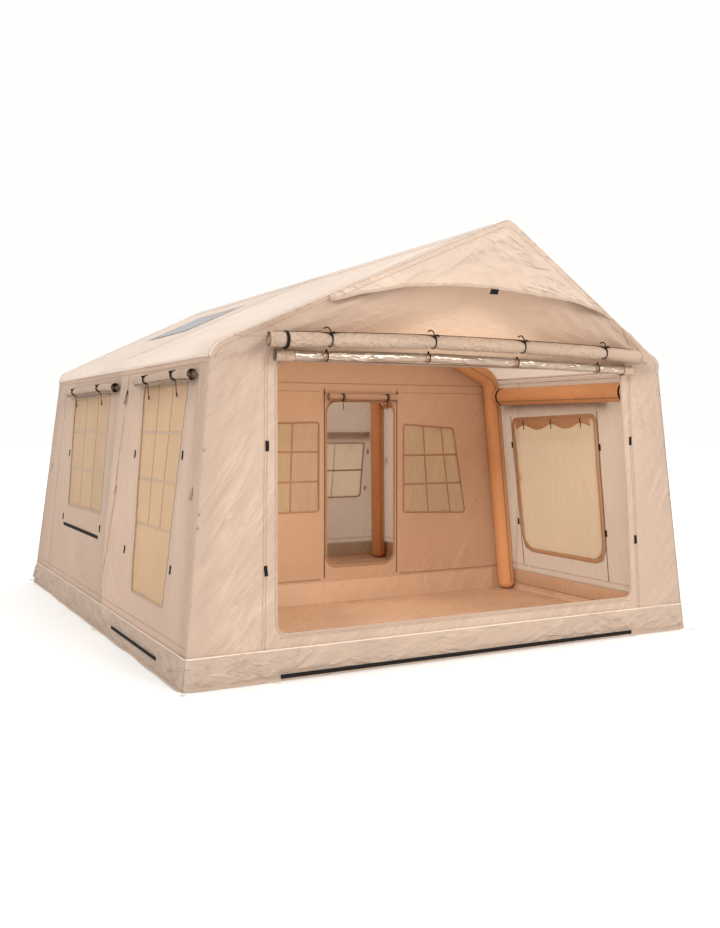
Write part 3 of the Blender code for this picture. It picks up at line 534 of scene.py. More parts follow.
SAND = (0.475, 0.375, 0.300)
WALL = dict(through=0.30, through_colour=(0.80, 0.635, 0.50), dirt=0.10)
M_WALL = cloth_material("wall_cloth_woven", SAND, **WALL, crease=0.62, crease_scale=4.4, runs=((1.0, 0.0, 1.45), (1.0, 0.0, 0.85)), second=0.6, lines=1.0)
M_WALL_SIDE = cloth_material("wall_cloth_woven_side", SAND, **WALL, crease=0.45, crease_scale=3.6, runs=((0.0, 0.14, 1.0), (0.0, -0.75, 1.0)), second=0.5)
# gable: the wall cloth again, made a little darker and warmer as painted shade under the visor
M_GABLE = cloth_material("gable_cloth_painted_shade", (0.475, 0.365, 0.285), through=0.30, through_colour=(0.80, 0.62, 0.47), crease=0.28, crease_scale=3.2, runs=((1.0, 0.0, 0.42), (1.0, 0.0, -0.35)), second=0.6, lines=0.45)
M_SKIRT = cloth_material("skirt_cloth_woven", (0.49, 0.385, 0.308), **WALL, crease=0.70, crease_scale=4.0, runs=((1.0, 0.0, 0.42), (1.0, 0.0, -0.25)), lines=1.0)
M_SKIRT_SIDE = cloth_material("skirt_cloth_woven_side", (0.52, 0.405, 0.325), **WALL, crease=0.70, crease_scale=4.0, runs=((0.0, 1.0, 0.42), (0.0, 1.0, -0.25)), lines=1.0)
# roof: the wall cloth again, made much lighter as painted light for the light that falls on the slopes
M_ROOF = cloth_material("roof_cloth_painted_light", (0.78, 0.70, 0.625), through=0.34, through_colour=(0.90, 0.77, 0.65), crease=0.5, crease_scale=2.6, runs=((0.0, 1.0, 0.0), (0.92, 0.35, 0.45)), second=0.6)
# visor: the wall cloth again, made lighter as painted light for the light that falls on it
M_VISOR = cloth_material("visor_cloth_painted_light", (0.60, 0.475, 0.385), through=0.22, through_colour=(0.86, 0.68, 0.55), crease=0.80, crease_scale=3.4, runs=((1.0, 0.0, -0.55), (1.0, 0.0, -0.20)), lines=0.8)
# partition: its own warm cloth colour, made deeper and more orange as painted warm shade for the light bounced and
# filtered inside the tent
M_LINER = cloth_material("partition_cloth_with_painted_warm_shade", (0.525, 0.322, 0.202), through=0.18, through_colour=(0.78, 0.53, 0.36), crease=0.32, crease_scale=2.4, runs=((1.0, 0.0, 1.5), (-1.0, 0.0, 0.9)), second=0.4, lines=0.35)
M_FLOOR = cloth_material("floor_cloth_coated", (0.60, 0.395, 0.258), rough=0.55, crease=0.40, crease_scale=3.0, dirt=0.0, vary=0.10, runs=((1.0, 0.5, 0.0), (0.3, 1.0, 0.0)))
M_SILL = cloth_material("floor_cloth_sill", (0.56, 0.36, 0.232), rough=0.6, crease=0.25, crease_scale=3.0, vary=0.06)
M_BEAM = cloth_material("beam_cloth_sleeve", (0.63, 0.295, 0.122), rough=0.6, crease=0.4, crease_scale=7.0, vary=0.08, sheen=0.1)
M_TAPE = cloth_material("seam_tape", (0.375, 0.268, 0.200), rough=0.8, crease=0.1, vary=0.05)
M_EDGE = cloth_material("edge_binding_brown", (0.36, 0.19, 0.10), rough=0.75, crease=0.1, vary=0.06)
M_ROOFTAPE = cloth_material("roof_seam_tape", (0.56, 0.46, 0.385), crease=0.15, vary=0.05)
# pale strip along the top of the skirts: painted highlight where the skirt folds over at the foot of the wall
M_SKIRT_FOLD_HIGHLIGHT = cloth_material("skirt_fold_painted_highlight", (0.60, 0.48, 0.39), crease=0.15, vary=0.05)
M_HEM = cloth_material("hem_cloth", (0.46, 0.35, 0.27), crease=0.2, vary=0.05, through=0.1, through_colour=(0.80, 0.52, 0.34))
M_MESH = cloth_material("mesh_window_net", (0.53, 0.395, 0.250), rough=0.7, crease=0.35, crease_scale=2.6, alpha=0.86, vary=0.07, through=0.35, through_colour=(0.66, 0.50, 0.33), runs=((0.0, 0.25, 1.0), (0.0, -0.35, 1.0)))
M_MESH_BACK = cloth_material("mesh_window_net_back", (0.47, 0.33, 0.185), rough=0.7, crease=0.5, crease_scale=2.2, alpha=0.93, vary=0.10, through=0.45, through_colour=(0.62, 0.42, 0.24), runs=((0.06, 0.10, 1.0), (-0.05, -0.12, 1.0)))
M_BIND = cloth_material("window_binding_tape", (0.46, 0.255, 0.135), rough=0.75, crease=0.15, vary=0.06)
M_MESH_IN = cloth_material("mesh_window_net_inner", (0.50, 0.345, 0.205), rough=0.7, crease=0.5, crease_scale=2.6, alpha=0.88, vary=0.08, through=0.30, through_colour=(0.62, 0.44, 0.27), runs=((0.2, 0.0, 1.0), (-0.2, 0.0, 1.0)))
M_MUNTIN = cloth_material("window_bar_tape", (0.40, 0.29, 0.21), rough=0.8, crease=0.1, vary=0.05)
# rolls and their headers: the wall cloth again, made darker as painted shade of the crumpled, rolled-up cloth
M_ROLL = cloth_material("rolled_cloth_painted_shade", (0.375, 0.270, 0.198), crease=0.60, crease_scale=5.0, vary=0.12, runs=((1.0, 1.0, 0.10), (1.0, 1.0, -0.18)), lines=0.6)
M_ROLL_IN = cloth_material("rolled_cloth_end", (0.52, 0.37, 0.265), crease=0.2, vary=0.1)
M_WEB = cloth_material("pale_webbing_woven", (0.70, 0.64, 0.55), rough=0.8, weave=0.6, weave_scale=260.0, crease=0.1)
M_GOLD = cloth_material("tan_cord", (0.40, 0.27, 0.16), rough=0.7, weave=0.6, weave_scale=260.0, crease=0.1)
M_BLACK = hard_material("black_webbing_ribbed", (0.009, 0.008, 0.0075), rough=0.88, grain=0.6, scale=420.0, shine=0.15)
M_PLASTIC = hard_material("dark_plastic_moulded", (0.022, 0.020, 0.019), rough=0.42, grain=0.12, shine=0.3)
M_ZIP = hard_material("zip_teeth_brown", (0.150, 0.082, 0.047), rough=0.6, grain=0.6, scale=380.0, shine=0.25)
M_FILM = film_material("film_roll_silver")
M_FILM_SHEET = cloth_material("film_sheet_clear", (0.62, 0.53, 0.44), rough=0.12, crease=0.30, crease_scale=3.0, alpha=0.28, vary=0.05, sheen=0.0, runs=((1.0, 0.0, 0.30), (1.0, 0.0, -0.20)))
M_PANE = pane_material("clear_pane_grey")


# ---------------------------------------------------------------- mesh tools
def piece(name, verts, faces, mats, body="tent", smooth=True, index=None, ride=True):
    mesh = bpy.data.meshes.new(name)
    mesh.from_pydata([tuple(map(float, v)) for v in verts], [], [tuple(map(int, f)) for f in faces])
    mesh.update()
    for m in mats if isinstance(mats, (list, tuple)) else [mats]:
        mesh.materials.append(m)
    if index is not None:
        mesh.polygons.foreach_set("material_index", np.asarray(index, np.int32))
    if smooth:
        mesh.shade_smooth()
    obj = bpy.data.objects.new(name, mesh)
    bpy.context.scene.collection.objects.link(obj)
    if ride:
        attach(obj, body)
    return obj


class Acc:
    """Collects strips, tubes and sheets into one mesh."""

    def __init__(self):
        self.v, self.f, self.m, self.n = [], [], [], 0

    def add(self, verts, faces, mat=0):
        verts = np.asarray(verts, float).reshape(-1, 3)
        self.v.append(verts)
        self.f += [tuple(int(i) + self.n for i in f) for f in faces]
        self.m += [mat] * len(faces)
        self.n += len(verts)

    def strip(self, pts, nrm, width, thick=0.0012, mat=0, crown=0.0):
        """A flat tape along pts, lying on the surface whose normals are nrm."""
        pts, nrm = np.asarray(pts, float), np.asarray(nrm, float)
        if nrm.ndim == 1:
            nrm = np.tile(nrm, (len(pts), 1))
        nrm = nrm / np.linalg.norm(nrm, axis=1)[:, None]
        t = np.gradient(pts, axis=0)
        t /= np.maximum(np.linalg.norm(t, axis=1), 1e-9)[:, None]
        side = np.cross(t, nrm)
        side /= np.maximum(np.linalg.norm(side, axis=1), 1e-9)[:, None]
        w = np.broadcast_to(np.asarray(width, float), (len(pts),))[:, None] / 2
        prof = [(-1.0, 0.0), (-0.94, thick), (0.0, thick + crown), (0.94, thick), (1.0, 0.0), (0.0, -thick * 0.5)]
        k = len(prof)
        ring = np.stack([pts + side * w * a + nrm * b for a, b in prof], axis=1)
        faces = []
        for i in range(len(pts) - 1):
            for j in range(k):
                a, b = i * k + j, i * k + (j + 1) % k
                faces.append((a, b, b + k, a + k))
        faces.append(tuple(range(k - 1, -1, -1)))
        faces.append(tuple((len(pts) - 1) * k + j for j in range(k)))
        self.add(ring.reshape(-1, 3), faces, mat)

    def tube(self, pts, radius, sides=12, mat=0, closed=False, ends=True):
        pts = np.asarray(pts, float)
        n = len(pts)
        r = np.broadcast_to(np.asarray(radius, float), (n,))
        if closed:
            t = np.roll(pts, -1, axis=0) - np.roll(pts, 1, axis=0)
        else:
            t = np.gradient(pts, axis=0)
        t /= np.maximum(np.linalg.norm(t, axis=1), 1e-12)[:, None]
        ref = np.cross(t[0], (0.0, 0.0, 1.0))
        if np.linalg.norm(ref) < 0.2:
            ref = np.cross(t[0], (0.0, 1.0, 0.0))
        ring = []
        ang = np.arange(sides) * 2 * math.pi / sides
        for i in range(n):
            ref = ref - t[i] * float(ref @ t[i])
            ref /= np.linalg.norm(ref)
            other = np.cross(t[i], ref)
            ring.append(pts[i] + r[i] * (np.cos(ang)[:, None] * ref + np.sin(ang)[:, None] * other))
        faces = []
        for i in range(n if closed else n - 1):
            i2 = (i + 1) % n
            for j in range(sides):
                j2 = (j + 1) % sides
                faces.append((i * sides + j, i * sides + j2, i2 * sides + j2, i2 * sides + j))
        if not closed and ends:
            faces.append(tuple(range(sides - 1, -1, -1)))
            faces.append(tuple((n - 1) * sides + j for j in range(sides)))
        self.add(np.concatenate(ring), faces, mat)

    def slab(self, centre, ex, ey, ez, size, mat=0, bevel=0.2):
        """A block with rounded edges: ex, ey, ez its axes, size its full lengths."""
        ex, ey, ez = (np.asarray(e, float) / np.linalg.norm(e) for e in (ex, ey, ez))
        sx, sy, sz = (s / 2 for s in size)
        b = bevel * min(sx, sy, sz)
        rings = []
        for z, inset in ((-sz, b), (-sz + b, 0.0), (sz - b, 0.0), (sz, b)):
            loop = []
            for cx, cy in ((1, 1), (-1, 1), (-1, -1), (1, -1)):
                for a in (0, 1, 2):
                    t = math.pi / 4 * a
                    ang = {(1, 1): 0, (-1, 1): 1, (-1, -1): 2, (1, -1): 3}[(cx, cy)] * math.pi / 2 + t
                    rr = max(2 * b - inset, b * 0.3)
                    loop.append((cx * (sx - 2 * b) + rr * math.cos(ang), cy * (sy - 2 * b) + rr * math.sin(ang), z))
            rings.append(loop)
        k = 12
        verts = [np.asarray(centre) + ex * x + ey * y + ez * z for loop in rings for x, y, z in loop]
        faces = []
        for i in range(3):
            for j in range(k):
                faces.append((i * k + j, i * k + (j + 1) % k, (i + 1) * k + (j + 1) % k, (i + 1) * k + j))
        faces.append(tuple(range(k - 1, -1, -1)))
        faces.append(tuple(3 * k + j for j in range(k)))
        self.add(verts, faces, mat)

    def make(self, name, mats, body="tent", slot=None, smooth=True, ride=True):
        return piece(name, np.concatenate(self.v), self.f, mats, body, smooth, self.m, ride)


def densify(points, step, closed=False):
    pts = [np.asarray(p, float) for p in points]
    if closed:
        pts = pts + [pts[0]]
    out = []
    for a, b in zip(pts, pts[1:]):
        n = max(1, int(math.ceil(np.linalg.norm(b - a) / step)))
        out += [a + (b - a) * i / n for i in range(n)]
    if not closed:
        out.append(pts[-1])
    return np.array(out)


def round_corners(points, radii, steps=5):
    out = []
    count = len(points)
    for k in range(count):
        radius = radii[k] if isinstance(radii, (tuple, list)) else radii
        p = np.array(points[k], float)
        a = np.array(points[k - 1], float) - p
        b = np.array(points[(k + 1) % count], float) - p
        a /= np.linalg.norm(a)
        b /= np.linalg.norm(b)
        half = math.acos(max(-1.0, min(1.0, float(a @ b)))) / 2
        back = radius / math.tan(half)
        mid = (a + b) / np.linalg.norm(a + b)
        centre = p + mid * (radius / math.sin(half))
        start, end = p + a * back, p + b * back
        u, v = start - centre, end - centre
        turn = math.atan2(u[0] * v[1] - u[1] * v[0], float(u @ v))
        for s in range(steps + 1):
            t = turn * s / steps
            c, sn = math.cos(t), math.sin(t)
            out.append((centre[0] + u[0] * c - u[1] * sn, centre[1] + u[0] * sn + u[1] * c))
    return out


def inside(poly, q):
    """Which of the points q, shape (n, 2), are in the polygon."""
    poly = np.asarray(poly, float)
    x, y = q[:, 0], q[:, 1]
    hit = np.zeros(len(q), bool)
    j = len(poly) - 1
    for i in range(len(poly)):
        xi, yi, xj, yj = *poly[i], *poly[j]
        cross = ((yi > y) != (yj > y)) & (x < (xj - xi) * (y - yi) / ((yj - yi) if yj != yi else 1e-12) + xi)
        hit ^= cross
        j = i
    return hit


def edge_distance(loops, q):
    best = np.full(len(q), 1e9)
    for loop in loops:
        loop = np.asarray(loop, float)
        for a, b in zip(loop, np.roll(loop, -1, axis=0)):
            d = b - a
            L = float(d @ d)
            if L < 1e-14:
                continue
            t = np.clip(((q - a) @ d) / L, 0, 1)
            best = np.minimum(best, np.linalg.norm(q - a - t[:, None] * d, axis=1))
    return best


def triangulate(outline, holes, step):
    """(points, triangles, distance to the edge) of a flat cut piece."""
    loops = [densify(outline, step, True)] + [densify(h, step, True) for h in holes]
    pts, edges = [], []
    for loop in loops:
        base = len(pts)
        pts += [tuple(p) for p in loop]
        edges += [(base + i, base + (i + 1) % len(loop)) for i in range(len(loop))]
    lo, hi = loops[0].min(axis=0), loops[0].max(axis=0)
    rows = []
    h = step * 0.866
    k = 0
    v = lo[1] + h * 0.5
    while v < hi[1]:
        u = np.arange(lo[0] + (step * 0.5 if k % 2 else 0.0) + step * 0.3, hi[0], step)
        rows.append(np.stack([u, np.full_like(u, v)], 1))
        v += h
        k += 1
    grid = np.concatenate(rows)
    keep = inside(loops[0], grid)
    for hole in loops[1:]:
        keep &= ~inside(hole, grid)
    grid = grid[keep]
    coarse = [np.asarray(outline, float)] + [np.asarray(x, float) for x in holes]
    grid = grid[edge_distance(coarse, grid) > step * 0.5]
    pts += [tuple(p) for p in grid]
    co, _, faces, _, _, _ = delaunay_2d_cdt([Vector(p) for p in pts], edges, [], 0, 1e-7, False)
    co = np.array([tuple(c) for c in co])
    tri = np.array([f for f in faces if len(f) == 3])
    mid = co[tri].mean(axis=1)
    ok = inside(loops[0], mid)
    for hole in loops[1:]:
        ok &= ~inside(hole, mid)
    tri = tri[ok]
    a, b, c = co[tri[:, 0]], co[tri[:, 1]], co[tri[:, 2]]
    area = (b[:, 0] - a[:, 0]) * (c[:, 1] - a[:, 1]) - (b[:, 1] - a[:, 1]) * (c[:, 0] - a[:, 0])
    tri[area < 0] = tri[area < 0][:, [0, 2, 1]]
    tri = tri[np.abs(area) > 1e-10]
    used, inv = np.unique(tri, return_inverse=True)
    co, tri = co[used], inv.reshape(-1, 3)
    return co, tri, edge_distance(coarse, co)


class Face:
    """One face of the shell: maps (u, v) to the row frame, with a shape of its own standing off the plane."""

    def __init__(self, place, normal, shape=None):
        self.place, self.normal = place, np.asarray(normal, float) / np.linalg.norm(normal)
        self.shape = shape or (lambda u, v: np.zeros_like(u))

    def at(self, u, v, out=0.0):
        u, v = np.atleast_1d(np.asarray(u, float)), np.atleast_1d(np.asarray(v, float))
        u, v = np.broadcast_arrays(u, v)
        base = np.stack(np.broadcast_arrays(*self.place(u, v)), axis=1).astype(float)
        return base + self.normal * (self.shape(u, v) + out)[:, None]

    def sheet(self, name, outline, holes, step, mat, slot, out=0.0, extra=None, body="tent"):
        co, tri, dist = triangulate(outline, holes, step)
        verts = self.at(co[:, 0], co[:, 1], out)
        if extra is not None:
            verts = verts + self.normal * extra(co[:, 0], co[:, 1], dist)[:, None]
        a, b, c = (verts[tri[:, i]] for i in range(3))
        n = np.cross(b - a, c - a).sum(axis=0)
        if float(n @ self.normal) < 0:
            tri = tri[:, ::-1]
        return piece(name, verts, tri, mat, body)

    def path(self, points, step=0.025, closed=False, out=0.0012):
        p = densify(points, step, closed)
        return self.at(p[:, 0], p[:, 1], out)


def poly_area(loop):
    loop = np.asarray(loop, float)
    x, y = loop[:, 0], loop[:, 1]
    return abs(float((x * np.roll(y, -1) - np.roll(x, -1) * y).sum())) / 2


def declare(outline, holes=()):
    loop = np.asarray(outline, float)
    w, h = (loop.max(axis=0) - loop.min(axis=0)).tolist()
    area = poly_area(outline) - sum(poly_area(x) for x in holes)
    area = min(max(area, 0.305 * w * h), w * h)


def rafter_plane_of(post_y, apex_y, end):
    """(y, z, slope) of the end's leaning plane, and the in-plane numbers of its rafters."""
    apex = np.array((0.0, apex_y, APEX_Z))
    run = np.array((KNEE_X, post_y(KNEE_Z), KNEE_Z)) - apex
    n = np.array(ROOF_N)
    f = np.cross(run / np.linalg.norm(run), n)
    if f[1] * end < 0:
        f = -f
    return apex, run, n, f / np.linalg.norm(f)


FRONT_HEM = rafter_plane_of(front_post_y, FRONT_APEX_Y, -1)
REAR_HEM = rafter_plane_of(rear_post_y, REAR_APEX_Y, 1)


def rafter_plane(hem, out):
    apex, run, n, f = hem
    slope = run[1] / run[2]
    normal = np.array((0.0, 1.0, -slope))
    normal *= math.copysign(1.0, f[1]) / np.linalg.norm(normal)
    at = apex + normal * out
    return at[1], at[2], slope


def rafter_gap(hem, x, z, out):
    apex, run, n, f = hem
    y0, z0, slope = rafter_plane(hem, out)
    stretch = math.hypot(1.0, slope)
    down = abs(run[2]) * stretch
    return ((z0 - z) * stretch * run[0] - np.abs(x) * down) / math.hypot(run[0], down)


def gable_half_width(hem, z, inset, out):
    apex, run, n, f = hem
    y0, z0, slope = rafter_plane(hem, out)
    stretch = math.hypot(1.0, slope)
    down = abs(run[2]) * stretch
    return ((z0 - z) * stretch * run[0] - inset * math.hypot(run[0], down)) / down


# ---------------------------------------------------------------- stage
def make_stage():
    mesh = bpy.data.meshes.new("studio_floor")
    s = 60.0
    mesh.from_pydata([(-s, -s, -0.0015), (s, -s, -0.0015), (s, s, -0.0015), (-s, s, -0.0015)], [], [(0, 1, 2, 3)])
    mat = bpy.data.materials.new("studio_floor_pale")
    mat.use_nodes = True
    p = mat.node_tree.nodes["Principled BSDF"]
    p.inputs["Base Color"].default_value = (0.90, 0.90, 0.90, 1)
    p.inputs["Roughness"].default_value = 0.9
    p.inputs["Specular IOR Level"].default_value = 0.1
    mesh.materials.append(mat)
    obj = bpy.data.objects.new("studio_floor", mesh)
    bpy.context.scene.collection.objects.link(obj)
    world = bpy.data.worlds.new("studio")
    world.use_nodes = True
    world.node_tree.nodes["Background"].inputs[0].default_value = (1.0, 0.995, 0.985, 1)
    world.node_tree.nodes["Background"].inputs[1].default_value = 1.0
    bpy.context.scene.world = world

    def sun(name, place, strength, angle, colour=(1, 1, 1)):
        light = bpy.data.lights.new(name, "SUN")
        light.energy, light.angle, light.color = strength, math.radians(angle), colour
        obj = bpy.data.objects.new(name, light)
        obj.rotation_euler = Vector(place).to_track_quat("Z", "Y").to_euler()
        bpy.context.scene.collection.objects.link(obj)

    sun("key_light", (2.9, -7.0, 2.1), 1.65, 26, (1.0, 0.970, 0.925))
    sun("side_light", (-5.6, -6.0, 3.0), 1.30, 14, (1.0, 0.980, 0.955))
    sun("top_light", (0.3, 0.5, 6.0), 0.60, 40)
    for name, place, aim, watts, wide, deep in (
        ("room_fill_front", (0.0, -1.25, 2.10), (0, 0, 1), 14.5, 2.2, 1.3),
        ("room_fill_rear", (0.0, 1.0, 2.10), (0, 0, 1), 14.5, 2.2, 1.5),
        ("gable_fill", (0.0, -1.80, 2.12), (0, 1, 0.22), 4.5, 1.1, 0.16),
    ):
        fill = bpy.data.lights.new(name, "AREA")
        fill.shape, fill.size, fill.size_y = "RECTANGLE", wide, deep
        fill.energy, fill.color = watts, (1.0, 0.90, 0.79)
        obj = bpy.data.objects.new(name, fill)
        obj.location = place
        obj.rotation_euler = Vector(aim).to_track_quat("Z", "Y").to_euler()
        obj.visible_camera = False
        bpy.context.scene.collection.objects.link(obj)
    view = bpy.context.scene.view_settings
    view.view_transform, view.look, view.exposure, view.gamma = "Standard", "None", 0.0, 1.0


make_stage()


# ---------------------------------------------------------------- faces of the shell
FY0, FZ0, FSLOPE = rafter_plane(FRONT_HEM, GABLE_OUT)
RY0, RZ0, RSLOPE = rafter_plane(REAR_HEM, GABLE_OUT)


def rim_pull(x, z):
    """How far the front cloth draws back round the rafters, towards the seam of the roof."""
    q = rafter_gap(FRONT_HEM, x, z, GABLE_OUT)
    return 0.045 * smooth01((-0.03 - q) / 0.06) * smooth01((z - 1.86) / 0.15)


def front_sheet_y(x, z):
    wall = front_y(z)
    lean = FY0 + FSLOPE * (z - FZ0)
    gap = np.maximum(0.0, wall - lean)
    q = rafter_gap(FRONT_HEM, x, z, GABLE_OUT)
    push = 0.13 * (1 - np.exp(-gap / 0.13)) * smooth01((q - 0.045) / 0.32)
    return np.minimum(lean, wall) + push + rim_pull(x, z)


def rear_sheet_y(x, z):
    wall = rear_y(z)
    lean = RY0 + RSLOPE * (z - RZ0)
    step = 0.012 * np.clip((z - 1.825) / 0.04, 0.0, 1.0)
    return np.maximum(lean, wall + step)


def gauss(x, z, cx, cz, rx, rz):
    return np.exp(-(((x - cx) / rx) ** 2) - ((z - cz) / rz) ** 2)


def front_shape(x, z):
    free = smooth01((z - 0.19) / 0.10)
    d = 0.0045 * soft(x, z, 0.62, 3) + 0.0016 * fold(x, z, 1.42, 0.13, 3.5, 5)
    d += gauss(x, z, -1.60, 1.62, 0.24, 0.50) * 0.0125 * fold(x, z, math.radians(60), 0.048, 6.0, 11)
    d += gauss(x, z, -1.58, 0.62, 0.24, 0.52) * 0.0120 * fold(x, z, math.radians(54), 0.055, 6.0, 13)
    d += gauss(x, z, 1.36, 2.02, 0.30, 0.22) * 0.0170 * fold(x, z, math.radians(-42), 0.075, 4.5, 12)
    d += gauss(x, z, 0.95, 2.18, 0.45, 0.17) * 0.0150 * fold(x, z, math.radians(-32), 0.095, 5.0, 17)
    d += gauss(x, z, 1.60, 1.55, 0.18, 0.60) * 0.0110 * fold(x, z, math.radians(106), 0.045, 6.0, 14)
    d += gauss(x, z, 1.62, 0.60, 0.18, 0.50) * 0.0080 * fold(x, z, math.radians(112), 0.050, 5.0, 21)
    d += gauss(x, z, -1.20, 2.06, 0.36, 0.16) * 0.0100 * fold(x, z, math.radians(38), 0.085, 4.5, 15)
    d += np.where(z > 1.9, 0.008, 0.0) * soft(x, z, 0.40, 19) * smooth01((z - 1.9) / 0.15)
    d += gauss(x, z, 0.0, 0.12, 2.0, 0.16) * 0.0040 * fold(x, z, 0.08, 0.05, 6.0, 18)
    d += 0.0110 * fan(x, z, -1.335, 1.99, 238, 0.55, 1.10, 0.16, 301)
    d += 0.0110 * fan(x, z, -1.31, 0.30, 218, 0.60, 0.55, 0.17, 302)
    d += 0.0090 * fan(x, z, -1.86, 0.19, 55, 0.45, 0.80, 0.13, 303)
    d += 0.0150 * fan(x, z, 1.46, 1.93, 146, 0.42, 1.05, 0.13, 304)
    d += 0.0080 * fan(x, z, -1.50, 1.95, 32, 0.40, 0.80, 0.12, 305)
    d += 0.0070 * fan(x, z, 1.40, 1.98, 290, 0.40, 1.10, 0.13, 306)
    d += 0.0060 * fan(x, z, 1.38, 0.29, 300, 0.90, 0.45, 0.20, 307)
    d += 0.0050 * fan(x, z, 1.86, 0.19, 118, 0.45, 0.80, 0.13, 308)
    return np.clip(d, -0.0045, 0.028) * free * smooth01((side_x(z) - 0.002 - np.abs(x)) / 0.07)


def keep_low(d, u, v, u0, u1, top, cap):
    """Holds the cloth flat where a roll comes down over it."""
    near = smooth01((u - u0 + 0.05) / 0.05) * smooth01((u1 + 0.05 - u) / 0.05) * smooth01((top + 0.05 - v) / 0.05)
    return d * (1 - near) + np.minimum(d, cap) * near


def side_shape(seed, paths=()):
    def shape(y, z):
        free = smooth01((z - 0.19) / 0.10)
        d = 0.0050 * soft(y, z, 0.70, seed) + 0.0018 * fold(y, z, 1.45, 0.15, 3.5, seed + 1)
        d += gauss(y, z, -2.00, 1.45, 0.22, 0.60) * 0.0120 * fold(y, z, math.radians(78), 0.045, 6.0, seed + 2)
        d += gauss(y, z, -0.45, 1.50, 0.30, 0.60) * 0.0100 * fold(y, z, math.radians(84), 0.060, 6.0, seed + 3)
        d += gauss(y, z, 1.62, 1.50, 0.35, 0.45) * 0.0045 * fold(y, z, math.radians(110), 0.08, 4.5, seed + 4)
        d += gauss(y, z, 0.3, 0.40, 1.7, 0.24) * 0.0100 * fold(y, z, 0.16, 0.060, 5.0, seed + 5)
        d += gauss(y, z, -0.45, 0.60, 0.30, 0.50) * 0.0055 * fold(y, z, math.radians(75), 0.07, 4.5, seed + 6)
        d += 0.0075 * fan(y, z, -2.15, 1.86, -76, 0.34, 1.15, 0.085, seed + 210)
        d += 0.0060 * fan(y, z, -0.50, 1.86, -88, 0.40, 0.95, 0.11, seed + 211)
        d += 0.0060 * fan(y, z, -2.22, 0.19, 72, 0.35, 0.95, 0.10, seed + 212)
        d += 0.0055 * fan(y, z, 1.95, 1.84, -100, 0.40, 1.00, 0.11, seed + 213)
        d += 0.0050 * fan(y, z, -0.27, 0.19, 96, 0.45, 0.80, 0.12, seed + 214)
        for path in paths:
            d = keep_low(d, y, z, *path)
        edge = np.minimum(y - front_y(z), rear_y(z) - y) - 0.002
        return np.clip(d, -0.0045, 0.020) * free * smooth01(edge / 0.07)

    return shape


def rear_shape(x, z):
    free = smooth01((z - 0.19) / 0.10)
    d = 0.0055 * soft(x, z, 0.60, 43) + 0.0025 * fold(x, z, 1.3, 0.14, 4.0, 45)
    d += gauss(x, z, -1.2, 1.7, 0.5, 0.4) * 0.005 * fold(x, z, math.radians(-48), 0.09, 4.5, 46)
    d += gauss(x, z, 1.3, 1.75, 0.4, 0.3) * 0.005 * fold(x, z, math.radians(48), 0.09, 4.5, 47)
    d += 0.0080 * fan(x, z, -1.60, 1.88, -40, 0.6, 1.1, 0.13, 401)
    d += 0.0080 * fan(x, z, 1.60, 1.88, 220, 0.6, 1.1, 0.13, 402)
    d = keep_low(d, x, z, 0.38, 1.66, 1.40, 0.0020)
    return np.clip(d, -0.0045, 0.018) * free * smooth01((side_x(z) - 0.002 - np.abs(x)) / 0.07)


def partition_shape(x, z):
    d = 0.0035 * soft(x, z, 0.50, 53) + 0.0022 * fold(x, z, 1.5, 0.14, 5.0, 55)
    d += gauss(x, z, -0.9, 1.9, 0.7, 0.3) * 0.003 * fold(x, z, math.radians(35), 0.10, 4.5, 56)
    d += gauss(x, z, 1.1, 1.6, 0.4, 0.5) * 0.003 * fold(x, z, math.radians(-55), 0.09, 4.5, 57)
    d += 0.0040 * fan(x, z, 1.55, 1.75, 225, 0.6, 0.9, 0.14, 403)
    d += 0.0040 * fan(x, z, 1.68, 0.05, 135, 0.6, 0.8, 0.14, 404)
    d = np.clip(d, -0.004, 0.007)
    # flat where the zips run, so that they lie on the cloth
    track = np.minimum(np.abs(x - 0.005), np.abs(x - 0.690))
    return np.where(d > 0, d * smooth01((track - 0.015) / 0.05), d)


FRONT = Face(lambda u, v: (u, front_sheet_y(u, v), v), (0.0, -1.0, FRONT_LEAN), front_shape)
FLAT_FRONT = Face(lambda u, v: (u, front_y(v), v), (0.0, -1.0, FRONT_LEAN))
LEFT = Face(lambda u, v: (-side_x(v), u, v), (-SIDE_N[0], 0.0, SIDE_N[2]), side_shape(23, ((-1.975, -0.925, 1.80, 0.0030), (-0.24, 1.22, 1.78, 0.0040))))
RIGHT = Face(lambda u, v: (side_x(v), u, v), (SIDE_N[0], 0.0, SIDE_N[2]), side_shape(33, ((-1.66, -0.24, 1.69, 0.0020), (-0.16, 1.36, 1.80, 0.0030))))
REAR = Face(lambda u, v: (u, rear_sheet_y(u, v), v), (0.0, 1.0, REAR_LEAN), rear_shape)
PART = Face(lambda u, v: (u, np.full_like(u, PART_Y), v), (0.0, -1.0, 0.0), partition_shape)


# ---------------------------------------------------------------- front: wall and gable in one cloth
def eave_frame():
    corner = np.array((1.68, 1.93))
    down = np.array((math.sin(math.atan(SIDE_LEAN)), -math.cos(math.atan(SIDE_LEAN))))
    up = np.array((-math.cos(math.atan(PITCH)), math.sin(math.atan(PITCH))))
    half = math.acos(float(down @ up)) / 2
    back = EAVE_R / math.tan(half)
    mid = (down + up) / np.linalg.norm(down + up)
    return corner + mid * EAVE_R / math.sin(half), float((corner + up * back)[0])


EAVE_C, EAVE_X = eave_frame()


def eave_arc(steps):
    """(x, z, nx, nz) round the eave, from the slope to the side wall."""
    a0, a1 = math.atan2(ROOF_N[2], ROOF_N[0]), math.atan2(SIDE_N[2], SIDE_N[0])
    out = []
    for k in range(steps + 1):
        t = a0 + (a1 - a0) * k / steps
        c, s = math.cos(t), math.sin(t)
        out.append((EAVE_C[0] + EAVE_R * c, EAVE_C[1] + EAVE_R * s, c, s))
    return out


def front_edge_y(z):
    return np.minimum(FY0 + FSLOPE * (z - FZ0), front_y(z)) + 0.045 * smooth01((z - 1.86) / 0.15)


def rear_edge_y(z):
    return rear_sheet_y(0.0, z)


